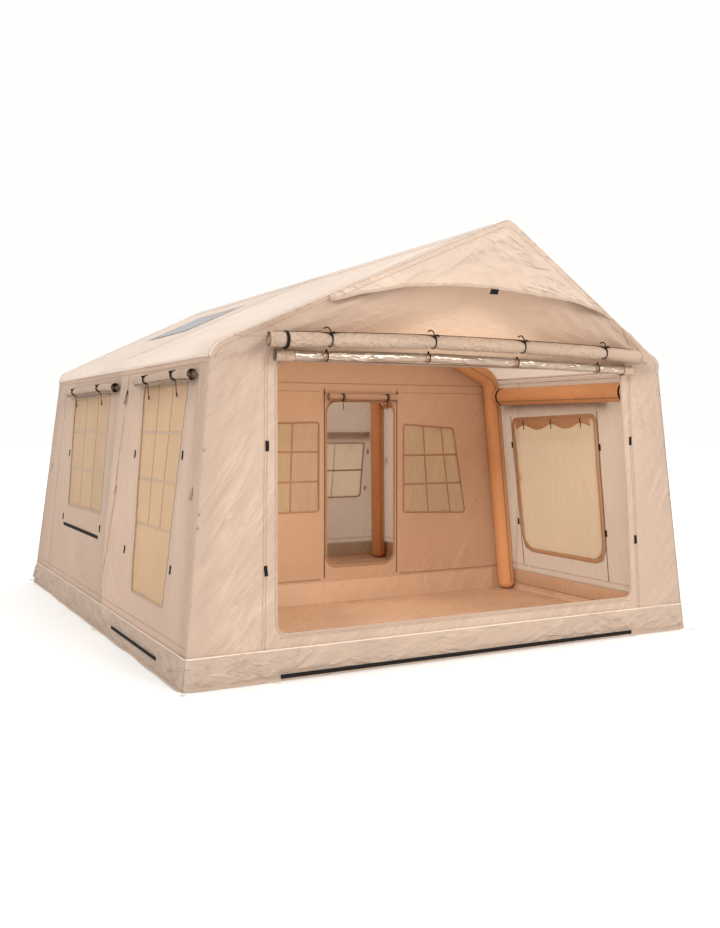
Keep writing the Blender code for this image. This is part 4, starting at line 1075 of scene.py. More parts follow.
def rake_line(inset):
    """Outer edge of the end sheets from the eave up to the ridge, drawn in by inset."""
    pts = [(x - inset * nx, z - inset * nz) for x, z, nx, nz in eave_arc(6)[::-1]]
    top = RIDGE_Z - 0.011 - inset * math.hypot(1.0, PITCH)
    x = EAVE_X
    while x > 0.05:
        x -= 0.06
        if x > 0.02:
            pts.append((x, RIDGE_Z - PITCH * math.sqrt(x * x + 0.022 ** 2) - inset * math.hypot(1.0, PITCH)))
    return pts, (0.0, top)


def end_outline(hem, seam):
    line, peak = rake_line(0.0010)
    side = [(side_x(0.003) - 0.001, 0.003)] + line
    return side + [peak] + [(-x, z) for x, z in reversed(side)]


DOOR = round_corners(
    [(DOOR_X[3], DOOR_Z[0]), (DOOR_X[2], DOOR_Z[0]), (DOOR_X[1], DOOR_Z[1]), (DOOR_X[0], DOOR_Z[1])],
    DOOR_CORNER,
    7,
)


def make_front():
    outline = end_outline(FRONT_HEM, SEAM_Z)
    obj = FRONT.sheet("front_wall_cloth", outline, [DOOR], 0.019, [M_WALL, M_GABLE], "wall_cloth")
    # faces above the seam over the doorway take the gable copy of the cloth, whose darker colour is painted shade
    # under the visor
    for poly in obj.data.polygons:
        poly.material_index = int(poly.center.z > 1.985)
    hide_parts("front_wall", "front_gable")
    t = Acc()
    # bound edge of the doorway
    n = FRONT.normal
    grow = round_corners(
        [(DOOR_X[3] - 0.010, DOOR_Z[0] - 0.010), (DOOR_X[2] + 0.010, DOOR_Z[0] - 0.010),
         (DOOR_X[1] + 0.010, DOOR_Z[1] + 0.004), (DOOR_X[0] - 0.010, DOOR_Z[1] + 0.004)], DOOR_CORNER + 0.012, 7)
    p = FRONT.path(grow, 0.03, True, 0.001)
    t.strip(np.vstack([p, p[:2]]), n, 0.015, 0.0016, 0, 0.0010)
    # seams: at the eave level, down the jambs, and along the sill
    def seam(points, width=0.012, mat=0, thick=0.0010, out=0.0010):
        p = FRONT.path(points, 0.022, False, out)
        t.strip(p, n, width, thick, mat)

    seam([(-1.560, 1.985), (-1.52, 1.985), (-1.30, 1.982)], 0.010)
    seam([(1.560, 1.978), (1.50, 1.980), (1.34, 1.982)], 0.010)
    for off in (0.0, 0.017):
        seam([(-1.335 - off, 1.980), (-1.352 - off, 1.36), (-1.372 - off, 0.80), (-1.392 - off, 0.190)], 0.0055)
        seam([(1.395 + off, 1.985), (1.412 + off, 1.36), (1.432 + off, 0.80), (1.452 + off, 0.190)], 0.0055)
    seam([(1.230, 2.130), (1.320, 2.050), (1.395, 1.985)], 0.009)
    seam([(-1.30, 0.243), (0.0, 0.243), (1.38, 0.243)], 0.006)
    # stitched line inside the rakes and the corners
    line, peak = rake_line(0.030)
    for s in (-1, 1):
        p = FRONT.path([(s * x, z) for x, z in line] + [(0.0, peak[1])], 0.05, False, 0.0010)
        t.strip(p, n, 0.006, 0.0010, 0)
    # dark piping down both front corners
    for s in (-1, 1):
        z = np.linspace(0.02, 1.86, 60)
        pts = np.stack([s * (side_x(z) + 0.0015), front_y(z) - 0.0015, z], 1)
        t.tube(pts, 0.0028, 8, 0)
    # small webbing tabs at the jamb seams
    for x, z in ((-1.353, 1.356), (-1.378, 0.638), (1.412, 1.363), (1.438, 0.668)):
        p = FRONT.path([(x, z + 0.030), (x, z - 0.030)], 0.010, False, 0.0024)
        t.strip(p, n, 0.022, 0.0024, 2)
    t.make("front_wall_seams", [M_TAPE, M_EDGE, M_BLACK], slot="wall_cloth")
    declare(outline, [DOOR])


make_front()


# ---------------------------------------------------------------- visor
VIS_X = np.array((-1.03, -0.96, -0.875, -0.60, -0.34, 0.06, 0.62, 1.02, 1.09))
VIS_Z = np.array((2.190, 2.212, 2.236, 2.292, 2.312, 2.305, 2.275, 2.215, 2.180))


def visor_low(x):
    fine = np.linspace(-1.03, 1.09, 213)
    z = np.interp(fine, VIS_X, VIS_Z)
    k = np.exp(-np.linspace(-2.2, 2.2, 31) ** 2)
    pad = np.concatenate([np.full(15, z[0]), z, np.full(15, z[-1])])
    z = np.convolve(pad, k / k.sum(), "valid")
    return np.interp(x, fine, z)


def make_visor():
    reach = 1.05
    n = np.array((0.0, -1.0, FSLOPE))
    n /= np.linalg.norm(n)
    cols, rows = 113, 28
    xs = np.linspace(-1.03, 1.09, cols)
    v = np.linspace(0, 1, rows)
    X, V = np.meshgrid(xs, v)
    low = visor_low(X)
    high = RIDGE_Z - 0.004 - PITCH * np.sqrt(X * X + 0.022 ** 2)
    high = np.maximum(high, low + 0.004)
    Z = low + (high - low) * V
    Y = FY0 + FSLOPE * (Z - FZ0) + 0.045
    bulge = 0.088 * np.maximum(0.0, 1 - (X / reach) ** 2) * (1 - V) ** 1.5
    x, z = X.ravel(), Z.ravel()
    drop = (high - Z).ravel()
    w = smooth01(drop / 0.09)
    d = 0.010 * soft(x, z, 0.34, 61)
    # folds that fan out from the peak, along the right rake most of all
    d += smooth01((x + 0.15) / 0.5) * 0.0130 * fold(x, z, math.radians(-27), 0.075, 5.0, 62)
    d += smooth01((-x + 0.05) / 0.5) * 0.0085 * fold(x, z, math.radians(26), 0.075, 5.0, 63)
    d += 0.0055 * fold(x, z, math.radians(6), 0.055, 3.5, 64)
    d += 0.0110 * fan(x, z, -0.02, 2.72, -35, 0.45, 1.3, 0.075, 65, 0.12)
    d += 0.0080 * fan(x, z, 0.02, 2.72, -140, 0.50, 1.2, 0.080, 66, 0.12)
    d = np.clip(d, -0.007, 0.024) * w
    away = 0.0012 + 0.0108 * smooth01(drop / 0.05)
    P = np.stack([x, Y.ravel() - bulge.ravel() - 0.040 * w, z], 1) + n * (away + d)[:, None]
    P[:, 1] = np.minimum(P[:, 1], FRONT.at(x, z, 0.0)[:, 1] - 0.0012 - 0.0060 * smooth01(drop / 0.04))
    faces = [(r * cols + c, r * cols + c + 1, (r + 1) * cols + c + 1, (r + 1) * cols + c) for r in range(rows - 1) for c in range(cols - 1)]
    obj = piece("visor_cloth", P, faces, M_VISOR)
    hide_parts("front_visor")
    t = Acc()
    hem = P[:cols]
    t.strip(hem + n * 0.001 + np.array((0, 0, 0.006)), n, 0.020, 0.0020, 0, 0.0010)
    t.tube(hem, 0.0032, 8, 0)
    # stitched line inside the rakes
    for side in (-1, 1):
        line = []
        for c in range(cols):
            if xs[c] * side < 0.004:
                continue
            col = P[c::cols]
            top = high[-1, c]
            if top - 0.034 > col[0, 2] + 0.004:
                line.append([np.interp(top - 0.034, col[:, 2], col[:, i]) for i in range(3)])
        line = np.array(line if side > 0 else line[::-1])
        t.strip(line + n * 0.0012, n, 0.005, 0.0010, 0)
    # webbing tab under the middle of the hem
    mid = hem[np.argmin(np.abs(xs + 0.035))]
    side_way = np.array((1.0, 0.0, 0.0))
    tab = np.array([mid + n * 0.0045 - np.array((0, 0, 0.016)) + side_way * (0.007 * i - 0.028) + n * 0.0010 * math.sin(i) for i in range(9)])
    t.strip(tab, n, 0.034, 0.0024, 1)
    t.make("visor_hem", [M_HEM, M_BLACK], slot="roof_cloth")


make_visor()


# ---------------------------------------------------------------- roof: one canopy over both slopes
def make_roof():
    flat_n = np.array(ROOF_N)
    arc = 9
    skies = {0.45, 0.95, 1.00}
    xs = sorted({0.0, 0.02, 0.045, *np.round(np.arange(0.09, EAVE_X - 0.02, 0.048), 4).tolist(), EAVE_X, *skies})
    xs = [x for x in xs if x in skies or x == EAVE_X or min(abs(x - q) for q in skies) > 0.012]
    P2 = [(x, RIDGE_Z - PITCH * math.sqrt(x * x + 0.022 ** 2), ROOF_N[0] * min(1, x / 0.06), ROOF_N[2]) for x in xs]
    P2 += [(x, z, nx, nz) for x, z, nx, nz in eave_arc(arc)][1:]
    P2 = np.array(P2)
    P2[:, 2:] /= np.linalg.norm(P2[:, 2:], axis=1)[:, None]
    marks = {0.50, 1.60, -1.55, -0.65}
    ys = sorted({*np.round(np.arange(-1.92, 1.96, 0.045), 4).tolist(), *marks})
    ys = [y for y in ys if y in marks or min(abs(y - q) for q in marks) > 0.012]
    lead = 5
    count, cols = len(P2), len(ys) + 2 * lead
    base = np.zeros((count, cols, 3))
    nrm = np.zeros((count, cols, 3))
    yf = front_edge_y(P2[:, 1])
    yr = rear_edge_y(P2[:, 1])
    col_y = [None] * lead + list(ys) + [None] * lead
    for j in range(cols):
        if j < lead:
            y = yf + (-1.965 - yf) * np.array((0.0, 0.08, 0.22, 0.48, 0.76))[j]
        elif j >= cols - lead:
            y = yr + (1.99 - yr) * np.array((0.0, 0.08, 0.22, 0.48, 0.76))[cols - 1 - j]
        else:
            y = np.full(count, col_y[j])
        base[:, j, 0], base[:, j, 1], base[:, j, 2] = P2[:, 0], y, P2[:, 1]
        nrm[:, j, 0], nrm[:, j, 2] = P2[:, 2], P2[:, 3]
    across = np.concatenate([[0.0], np.cumsum(np.linalg.norm(np.diff(P2[:, :2], axis=0), axis=1))])

    def dressed(side):
        p, n = base.copy(), nrm.copy()
        p[:, :, 0] *= side
        n[:, :, 0] *= side
        a = np.repeat(across[:, None], cols, 1)
        y = p[:, :, 1]
        f, r = yf[:, None], yr[:, None]
        bay_f = np.sin(math.pi * np.clip((y - f - 0.10) / (MID_Y - f - 0.10), 0, 1))
        bay_r = np.sin(math.pi * np.clip((y - MID_Y) / (r - 0.10 - MID_Y), 0, 1))
        slope = np.sin(math.pi * np.clip(a / across[-arc], 0, 1))
        d = -0.013 * (bay_f + bay_r) * slope
        ends = smooth01(np.minimum(y - f, r - y) / 0.16)
        ar, yy = a.ravel(), y.ravel()
        seed = 71 if side < 0 else 81
        shape = (count, cols)
        d = d + ends * (0.0032 * soft(ar + 5 * side, yy, 0.50, seed).reshape(shape))
        d = d + ends * 0.0016 * fold(ar, yy, 0.1, 0.17, 4.0, seed + 1).reshape(shape) * smooth01((a - 0.2) / 0.4)
        eave = np.exp(-(((a - across[-1] + 0.12) / 0.13) ** 2))
        near = 0.40 + 0.60 * np.exp(-(((y - f) / 0.50) ** 2)) + 0.4 * np.exp(-(((r - y) / 0.5) ** 2)) + 0.5 * np.exp(-(((y - MID_Y) / 0.28) ** 2))
        d = d + ends * eave * near * 0.0072 * fold(ar, yy, 0.06, 0.080, 2.2, seed + 2).reshape(shape)
        d = d + ends * eave * near * 0.0036 * fold(ar, yy, 0.5, 0.048, 3.0, seed + 3).reshape(shape)
        tight = smooth01(a / 0.10)
        return p + n * (np.clip(d, -0.018, 0.012) * tight)[:, :, None]

    left, right = dressed(-1), dressed(1)
    grid = np.concatenate([left[:0:-1], ((left[0] + right[0]) / 2)[None], right[1:]])
    rows = len(grid)
    full = [*xs, *[9.0 + k for k in range(count - len(xs))]]
    sx = np.array([-v for v in full[:0:-1]] + full)
    faces = []
    for i in range(rows - 1):
        xm = (sx[i] + sx[i + 1]) / 2
        for j in range(cols - 1):
            y0, y1 = col_y[j], col_y[j + 1]
            if y0 is not None and y1 is not None:
                ym = (y0 + y1) / 2
                if any(p < xm < q and c < ym < d for p, q, c, d in (SKY_LEFT, SKY_RIGHT)):
                    continue
            a, b = i * cols + j, i * cols + j + 1
            faces.append((a, a + cols, b + cols, b))
    obj = piece("roof_canopy", grid.reshape(-1, 3), faces, M_ROOF)
    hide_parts("roof_left", "roof_right")
    t = Acc()
    row_n = np.concatenate([np.stack([-P2[:0:-1, 2], 0 * P2[:0:-1, 2], P2[:0:-1, 3]], 1), [[0, 0, 1.0]],
                            np.stack([P2[1:, 2], 0 * P2[1:, 2], P2[1:, 3]], 1)])
    for s, i in ((-1, 0), (1, rows - 1)):
        n = row_n[i]
        t.strip(grid[i, 1:-1] + n * 0.0012 + np.array((0, 0, 0.009)), n, 0.018, 0.0018, 0, 0.0008)
    for s in (-1, 1):
        n = np.array((s * ROOF_N[0], 0, ROOF_N[2]))
        flat_rows = [i for i in range(rows) if abs(sx[i]) < 2 and (sx[i] * s > 0.03)]
        i = min(flat_rows, key=lambda q: abs(abs(sx[q]) - 0.19))
        t.strip(grid[i, 1:-1] + n * 0.0012, n, 0.008, 0.0012, 0)
        for want in (MID_Y - 0.09, MID_Y + 0.09):
            j = min(range(lead, cols - lead), key=lambda q: abs(col_y[q] - want))
            t.strip(grid[flat_rows, j] + n * 0.0012, n, 0.006, 0.0010, 0)
    # welted edge along each rake, and the stitched line behind it
    for j, jn, end in ((0, 2, -1), (cols - 1, cols - 3, 1)):
        t.tube(grid[:, j] + row_n * 0.0004, 0.0030, 8, 0)
        line = grid[:, jn] + row_n * 0.0011
        side_dir = np.gradient(line, axis=0)
        t.strip(line, row_n, 0.007, 0.0010, 0)
    for x0, x1, y0, y1 in (SKY_LEFT, SKY_RIGHT):
        s = 1 if x0 > 0 else -1
        n = np.array((s * ROOF_N[0], 0, ROOF_N[2]))
        i0, i1 = int(np.argmin(np.abs(sx - x0))), int(np.argmin(np.abs(sx - x1)))
        j0, j1 = lead + ys.index(y0), lead + ys.index(y1)
        loop = list(grid[i0, j0:j1 + 1]) + list(grid[i0:i1 + 1, j1]) + list(grid[i1, j0:j1 + 1][::-1]) + list(grid[i0:i1 + 1, j0][::-1])
        loop = [p for p, q in zip(loop, loop[1:] + loop[:1]) if np.linalg.norm(p - q) > 1e-6]
        p = densify(loop, 0.05, True) + n * 0.0014
        t.strip(np.vstack([p, p[:2]]), n, 0.026, 0.0022, 0, 0.001)
        t.strip(np.vstack([p, p[:2]]) - n * 0.0030, -n, 0.034, 0.0022, 1, 0.001)
    t.make("roof_seams", [M_ROOFTAPE, M_TAPE], slot="roof_cloth")


make_roof()


# ---------------------------------------------------------------- side and rear walls with their windows
def grown(points, lap):
    pts = np.array(points, float)
    mid = pts.mean(axis=0)
    return [tuple(p + np.sign(p - mid) * lap) for p in pts]


def window(tag, face, corners, radius, uprights, rails, bar_slot="mesh_window", piping=None, step=0.045, mat=None, low_rail=None,
           rail=None, rail_width=0.016, post_width=0.007, frame=0.014, edge_radius=None):
    """A net window behind its hole, with the bars that are sewn on it."""
    outline = round_corners(grown(corners, 0.015), radius, 4)

    def sagging(u, v, dist):
        w = smooth01(dist / 0.10)
        return -0.0060 - w * (0.0035 + 0.0030 * soft(u, v, 0.40, 91) + 0.0022 * fold(u, v, 1.1, 0.12, 4.0, 92))

    obj = face.sheet(f"net_{tag}", outline, [], step, mat or M_MESH, "mesh_window", 0.0, sagging)
    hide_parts(f"window_{tag}")
    t = Acc()
    n = face.normal
    c = np.array(corners, float)
    zs = c[:, 1]

    def across(z):
        """u of both side edges of the window at the height z."""
        left, right = c[np.argsort(c[:, 0])[:2]], c[np.argsort(c[:, 0])[2:]]
        out = []
        for pair in (left, right):
            (u0, z0), (u1, z1) = pair[np.argsort(pair[:, 1])]
            out.append(u0 + (u1 - u0) * (z - z0) / (z1 - z0))
        return out

    def bar(points, width, mat):
        p = densify(points, 0.03)
        dist = edge_distance([outline], p)
        out = sagging(p[:, 0], p[:, 1], dist) + 0.0012
        q = face.at(p[:, 0], p[:, 1], 0.0) + n * out[:, None]
        t.strip(q, n, width, 0.0010, mat)

    for z in rails:
        u0, u1 = across(z)
        bar([(u0 - 0.006, z), (u1 + 0.006, z)], rail_width, 0)
    z0 = (low_rail or zs.min()) - 0.004
    z1 = zs.max() + 0.004
    for share in uprights:
        a, b = across(z1), across(z0)
        bar([(a[0] + (a[1] - a[0]) * share, z1), (b[0] + (b[1] - b[0]) * share, z0)], post_width, 1)
    edge = round_corners(grown(corners, frame / 2), edge_radius or radius, 5)
    p = face.path(edge, 0.03, True, 0.0012)
    t.strip(np.vstack([p, p[:2]]), n, frame, 0.0016, 2, 0.001)
    if frame > 0.02:
        t.strip(np.vstack([p, p[:2]]) - n * 0.0060, -n, frame, 0.0016, 2, 0.001)
    t.make(f"net_bars_{tag}", [rail or M_MUNTIN, M_EDGE, piping or M_TAPE], slot="wall_cloth" if "partition" not in tag else "partition_cloth")
    declare(outline, ())
    return obj


def flap(face, corners):
    """A short curtain gathered along the top of the right-hand window, on its inside, with three ties."""
    (y0, z0), (y1, z1) = corners[0], corners[1]
    cols, rows = 61, 8
    u = np.linspace(0.03, 0.97, cols)
    v = np.linspace(0, 1, rows)
    U, V = np.meshgrid(u, v, indexing="ij")
    ties = np.array((0.14, 0.50, 0.86))
    near = np.min(np.abs(U[..., None] - ties), axis=2)
    deep = 0.045 + 0.040 * smooth01(near / 0.16)
    Y = y0 + (y1 - y0) * U
    top = z0 + (z1 - z0) * U + 0.012
    Z = top - deep * V
    wave = 0.0035 * noise3(np.stack([Y.ravel() / 0.05, V.ravel() * 0.6, np.full(Y.size, 5.2)], 1)).reshape(Y.shape)
    out = -0.0125 - (0.006 * np.sin(math.pi * V) + wave) * 1.0
    P = np.stack(np.broadcast_arrays(*face.at(Y.ravel(), Z.ravel(), 0.0).T), 1) + face.normal * out.ravel()[:, None]
    faces = [(i * rows + j, (i + 1) * rows + j, (i + 1) * rows + j + 1, i * rows + j + 1) for i in range(cols - 1) for j in range(rows - 1)]
    obj = piece("net_flap_right_front", P, faces, M_BIND)
    t = Acc()
    for q in ties:
        i = int(np.argmin(np.abs(u - q)))
        row = P[i * rows:(i + 1) * rows] - face.normal * 0.0022
        t.strip(np.vstack([row, row[-1] - np.array((0, 0, 0.018)), row[-1] - np.array((0, 0, 0.036))]), -face.normal, 0.008, 0.0020, 0)
    t.make("net_flap_ties_right_front", [M_BLACK], slot="mesh_window")


def side_outline(clear):
    top = 1.93 - EAVE_R / math.tan(math.radians(60.27)) * SIDE_N[0] - 0.0015
    low = 0.003
    return [(front_y(low) + clear, low), (rear_y(low) - clear, low), (rear_y(top) - clear, top), (front_y(top) + clear, top)]


def make_sides():
    for tag, face, first, second, step in (("left", LEFT, WIN_TALL, WIN_REAR, 0.021), ("right", RIGHT, WIN_RIGHT, WIN_REAR_R, 0.030)):
        outline = side_outline(0.0012)
        wide = 0.045 if tag == "left" else (0.045, 0.045, 0.13, 0.13)
        holes = [round_corners(first, wide, 5), round_corners(second, 0.03, 4)]
        obj = face.sheet(f"{tag}_wall_cloth", outline, holes, step, M_WALL_SIDE, "wall_cloth")
        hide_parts(f"{tag}_wall")
        t = Acc()
        n = face.normal

        def seam(points, width=0.006, mat=0, thick=0.0010, out=0.0010):
            t.strip(face.path(points, 0.025, False, out), n, width, thick, mat)

        # seam under the eave, double seam at the middle arch, seams beside the windows
        seam([(front_y(1.83) + 0.012, 1.832), (rear_y(1.83) - 0.012, 1.832)], 0.005)
        for off in (-0.010, 0.010):
            seam([(-0.520 + off, 1.83), (-0.395 + off, 0.90), (-0.271 + off, 0.19)], 0.0050)
        seam([(1.60, 1.83), (1.66, 0.19)], 0.0050)
        seam([(front_y(0.23) + 0.012, 0.232), (rear_y(0.23) - 0.012, 0.232)], 0.005)
        if tag == "left":
            for y, z in ((-0.843, 1.28), (-0.79, 0.632), (-1.818, 0.622), (1.238, 0.692), (-0.06, 0.703), (1.215, 1.236), (-1.860, 1.30)):
                p = face.path([(y, z + 0.026), (y, z - 0.026)], 0.010, False, 0.0024)
                t.strip(p, n, 0.022, 0.0024, 1)
        else:
            for y, z in ((-1.50, 1.30), (-1.50, 0.62), (-0.37, 1.30), (-0.37, 0.62), (1.25, 1.25), (-0.05, 1.25)):
                for out in (0.0024, -0.0050):
                    p = face.path([(y, z + 0.026), (y, z - 0.026)], 0.010, False, out)
                    t.strip(p, n, 0.022, 0.0024, 1)
        # guy loops of webbing, sewn in the middle seam and at the corners
        for (y, z), mat in (((-0.440, 1.034), 2), ((-2.089, 1.106), 2), ((1.93, 1.10), 2), ((-0.505, 1.700), 1)):
            base = face.at(y, z, 0.002)[0]
            s = np.linspace(0, 1, 15)
            fall = 0.060 if mat == 2 else 0.085
            loop = np.stack([base[0] + n[0] * 0.010 * np.sin(math.pi * s), base[1] + 0.012 * np.sin(2 * math.pi * s),
                             base[2] + 0.010 - fall * np.sin(math.pi * s) * (0.75 + 0.25 * np.sin(math.pi * s))], 1)
            loop[:, 0] = -np.sign(-n[0]) * 0 + loop[:, 0] + n[0] * 0.003 + (side_x(loop[:, 2]) - side_x(base[2])) * np.sign(n[0])
            t.strip(loop, n, 0.012 if mat == 2 else 0.008, 0.0016, mat)
            t.strip(face.path([(y, z + 0.020), (y, z - 0.004)], 0.008, False, 0.003), n, 0.016, 0.0022, mat)
        # band of floor cloth inside the foot of the wall, and the zips beside the big window
        t.strip(face.path([(front_y(0.11) + 0.03, 0.118), (PART_Y - 0.03, 0.118)], 0.03, False, -0.0042), -n, 0.120, 0.0016, 3)
        t.strip(face.path([(PART_Y + 0.03, 0.118), (rear_y(0.11) - 0.03, 0.118)], 0.03, False, -0.0042), -n, 0.120, 0.0016, 3)
        for (ya, za), (yb, zb) in ((first[0], first[3]), (first[1], first[2])):
            side = -1 if ya < -1.0 else 1
            t.strip(face.path([(ya + side * 0.045, za + 0.05), (yb + side * 0.045, zb - 0.16)], 0.03, False, -0.0042), -n, 0.007, 0.0014, 4)
        t.make(f"{tag}_wall_seams", [M_TAPE, M_BLACK, M_GOLD, M_SILL, M_ZIP], slot="wall_cloth")
        declare(outline, holes)
        third = (1 / 3, 2 / 3)
        window(f"{tag}_front", face, first, 0.045, third if tag == "left" else (), (1.43, 1.125, 0.834) if tag == "left" else (),
               low_rail=0.834 if tag == "left" else None, piping=None if tag == "left" else M_BIND,
               mat=None if tag == "left" else M_MESH_BACK, frame=0.014 if tag == "left" else 0.036, edge_radius=None if tag == "left" else wide)
        window(f"{tag}_rear", face, second, 0.03, third, (1.42, 1.115), mat=None if tag == "left" else M_MESH_BACK)
        if tag == "right":
            flap(face, first)


make_sides()


def make_rear():
    outline = end_outline(REAR_HEM, REAR_SEAM_Z)
    hole = round_corners(WIN_BACK, 0.03, 4)
    obj = REAR.sheet("rear_wall_cloth", outline, [hole], 0.032, M_WALL, "wall_cloth")
    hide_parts("rear_wall", "rear_gable")
    t = Acc()
    n = REAR.normal

    def seam(points, width=0.006, mat=0, thick=0.0010):
        t.strip(REAR.path(points, 0.03, False, 0.0010), n, width, thick, mat)

    seam([(-1.56, 1.872), (0.0, 1.872), (1.56, 1.872)], 0.012)
    for x in (-0.62, 0.30):
        for off in (-0.009, 0.009):
            seam([(x + off, 2.20 if x > 0 else 2.20), (x + off, 0.19)], 0.0050)
    seam([(-1.84, 0.232), (1.84, 0.232)], 0.005)
    line, peak = rake_line(0.030)
    for s in (-1, 1):
        t.strip(REAR.path([(s * x, z) for x, z in line] + [(0.0, peak[1])], 0.05, False, 0.0010), n, 0.006, 0.0010, 0)
        z = np.linspace(0.02, 1.86, 60)
        pts = np.stack([s * (side_x(z) + 0.0015), rear_sheet_y(0.0, z) + 0.0015, z], 1)
        t.tube(pts, 0.0022, 8, 0)
    for x, z in ((0.44, 1.18), (0.44, 0.78), (1.60, 1.18), (1.60, 0.78)):
        t.strip(REAR.path([(x, z + 0.026), (x, z - 0.026)], 0.010, False, 0.0024), n, 0.022, 0.0024, 2)
    t.make("rear_wall_seams", [M_TAPE, M_EDGE, M_BLACK], slot="wall_cloth")
    declare(outline, [hole])
    window("rear_wall", REAR, WIN_BACK, 0.03, (1 / 3, 2 / 3), (0.985,), mat=M_MESH_BACK)


make_rear()


# ---------------------------------------------------------------- partition
def make_partition():
    clear = CLOTH + 0.003

    def roof_under(x):
        return RIDGE_Z - PITCH * abs(x) - clear * math.hypot(1.0, PITCH) - 0.012

    x_top = side_x(1.86) - clear * math.hypot(1.0, SIDE_LEAN)
    x_low = side_x(0.006) - clear * math.hypot(1.0, SIDE_LEAN)
    outline = [(-x_low, 0.006), (x_low, 0.006), (x_top, 1.86), (1.60, roof_under(1.62) - 0.012), (0.06, roof_under(0.06) - 0.008),
               (-0.06, roof_under(0.06) - 0.008), (-1.60, roof_under(1.62) - 0.012), (-x_top, 1.86)]
    door = round_corners([(PDOOR[0], PDOOR[2]), (PDOOR[1], PDOOR[2]), (PDOOR[1], PDOOR[3]), (PDOOR[0], PDOOR[3])], PDOOR_CORNER, 7)
    holes = [door, round_corners(PWIN_L, 0.02, 3), round_corners(PWIN_R, 0.02, 3)]
    obj = PART.sheet("partition_cloth_panel", outline, holes, 0.026, M_LINER, "partition_cloth")
    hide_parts("partition_wall")
    t = Acc()
    n = PART.normal

    def seam(points, width=0.006, mat=0, thick=0.0010, out=0.0012):
        t.strip(PART.path(points, 0.03, False, out), n, width, thick, mat)

    grow = round_corners([(PDOOR[0] - 0.008, PDOOR[2] - 0.008), (PDOOR[1] + 0.008, PDOOR[2] - 0.008),
                          (PDOOR[1] + 0.008, PDOOR[3] + 0.008), (PDOOR[0] - 0.008, PDOOR[3] + 0.008)], PDOOR_CORNER + 0.008, 7)
    p = PART.path(grow, 0.03, True, 0.0008)
    t.strip(np.vstack([p, p[:2]]), n, 0.018, 0.0014, 0, 0.0008)
    seam([(-1.66, 1.816), (1.66, 1.816)], 0.006)
    seam([(-1.66, 1.749), (-0.04, 1.749)], 0.004)
    seam([(0.735, 1.749), (1.66, 1.749)], 0.004)
    seam([(-1.75, 0.205), (-0.03, 0.205)], 0.010)
    seam([(0.72, 0.205), (1.75, 0.205)], 0.010)
    seam([(-0.86, 1.816), (-0.90, 0.205)], 0.004)
    t.make("partition_seams", [M_EDGE], slot="partition_cloth")
    declare(outline, holes)
    window("partition_left", PART, PWIN_L, 0.02, (0.63,), (1.257, 1.014), piping=M_EDGE, rail=M_EDGE, post_width=0.014, mat=M_MESH_IN)
    window("partition_right", PART, PWIN_R, 0.02, (0.40, 0.77), (1.215, 0.967), piping=M_EDGE, rail=M_EDGE, post_width=0.014, mat=M_MESH_IN)
    # tub-floor strip along the foot of the partition
    y0, z0, z1 = PART_Y - 0.0055, 0.006, 0.185
    xs = np.linspace(-1.68, 1.68, 135)
    prof = np.linspace(0, 1, 9)
    verts, faces = [], []
    for x in xs:
        for q in prof:
            z = z0 + (z1 - z0) * q
            verts.append((x, y0, z))
    verts = np.array(verts)
    d = 0.0022 * fold(verts[:, 0], verts[:, 2], 1.2, 0.07, 2.5, 58) * np.sin(math.pi * np.clip((verts[:, 2] - z0) / (z1 - z0), 0, 1))
    verts[:, 1] -= np.clip(d, -0.0005, 0.0035)
    k = len(prof)
    for i in range(len(xs) - 1):
        for j in range(k - 1):
            faces.append((i * k + j, (i + 1) * k + j, (i + 1) * k + j + 1, i * k + j + 1))
    sill = piece("partition_sill_strip", verts, faces, M_SILL)
    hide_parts("partition_sill")


make_partition()


# ---------------------------------------------------------------- groundsheet and skirts
def make_ground():
    fx, fy = side_x(0.0) - 0.008, HALF_L - 0.009
    climb = np.array((0.016, 0.034, 0.052))

    def stations(f, n):
        inner = np.linspace(-f, f, n)
        return np.concatenate([-f - climb[::-1], inner, f + climb])

    xs, ys = stations(fx - 0.004, 116), stations(fy - 0.004, 139)
    nx, ny = len(xs), len(ys)
    X, Y = np.meshgrid(xs, ys, indexing="ij")
    x, y = X.ravel(), Y.ravel()
    up = np.maximum(np.maximum(np.abs(x) - (fx - 0.004), np.abs(y) - (fy - 0.004)), 0.0)
    lift = up + 0.0
    x = np.clip(x, -(side_x(lift) - 0.0062), side_x(lift) - 0.0062)
    y = np.clip(y, front_y(lift) + 0.0062, rear_y(lift) - 0.0062)
    edge = np.minimum(fx - np.abs(x), fy - np.abs(y))
    w = smooth01(edge / 0.12)
    d = 0.0030 * np.maximum(0, fold(x, y, 0.35, 0.42, 3.0, 101)) + 0.0026 * np.maximum(0, fold(x, y, 1.9, 0.33, 3.0, 102))
    d += 0.0022 * soft(x, y, 0.35, 103) + 0.0035 * np.maximum(0, fold(x, y, 1.15, 0.16, 5.0, 104)) ** 2
    post = np.minimum(np.hypot(np.abs(x) - 1.79, y + 0.23), np.minimum(np.hypot(np.abs(x) - 1.79, y + 2.16), np.hypot(np.abs(x) - 1.79, y - 2.16)))
    w = w * smooth01((post - 0.09) / 0.1)
    part = smooth01((np.abs(y - PART_Y) - 0.02) / 0.06)
    z = 0.0038 + lift + np.clip(d, 0, 0.0095) * w * np.where(np.abs(y - PART_Y) < 0.08, 0.25 + 0.75 * part, 1.0)
    faces = [(i * ny + j, (i + 1) * ny + j, (i + 1) * ny + j + 1, i * ny + j + 1) for i in range(nx - 1) for j in range(ny - 1)]
    obj = piece("groundsheet_cloth", np.stack([x, y, z], 1), faces, M_FLOOR)
    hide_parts("groundsheet")


make_ground()


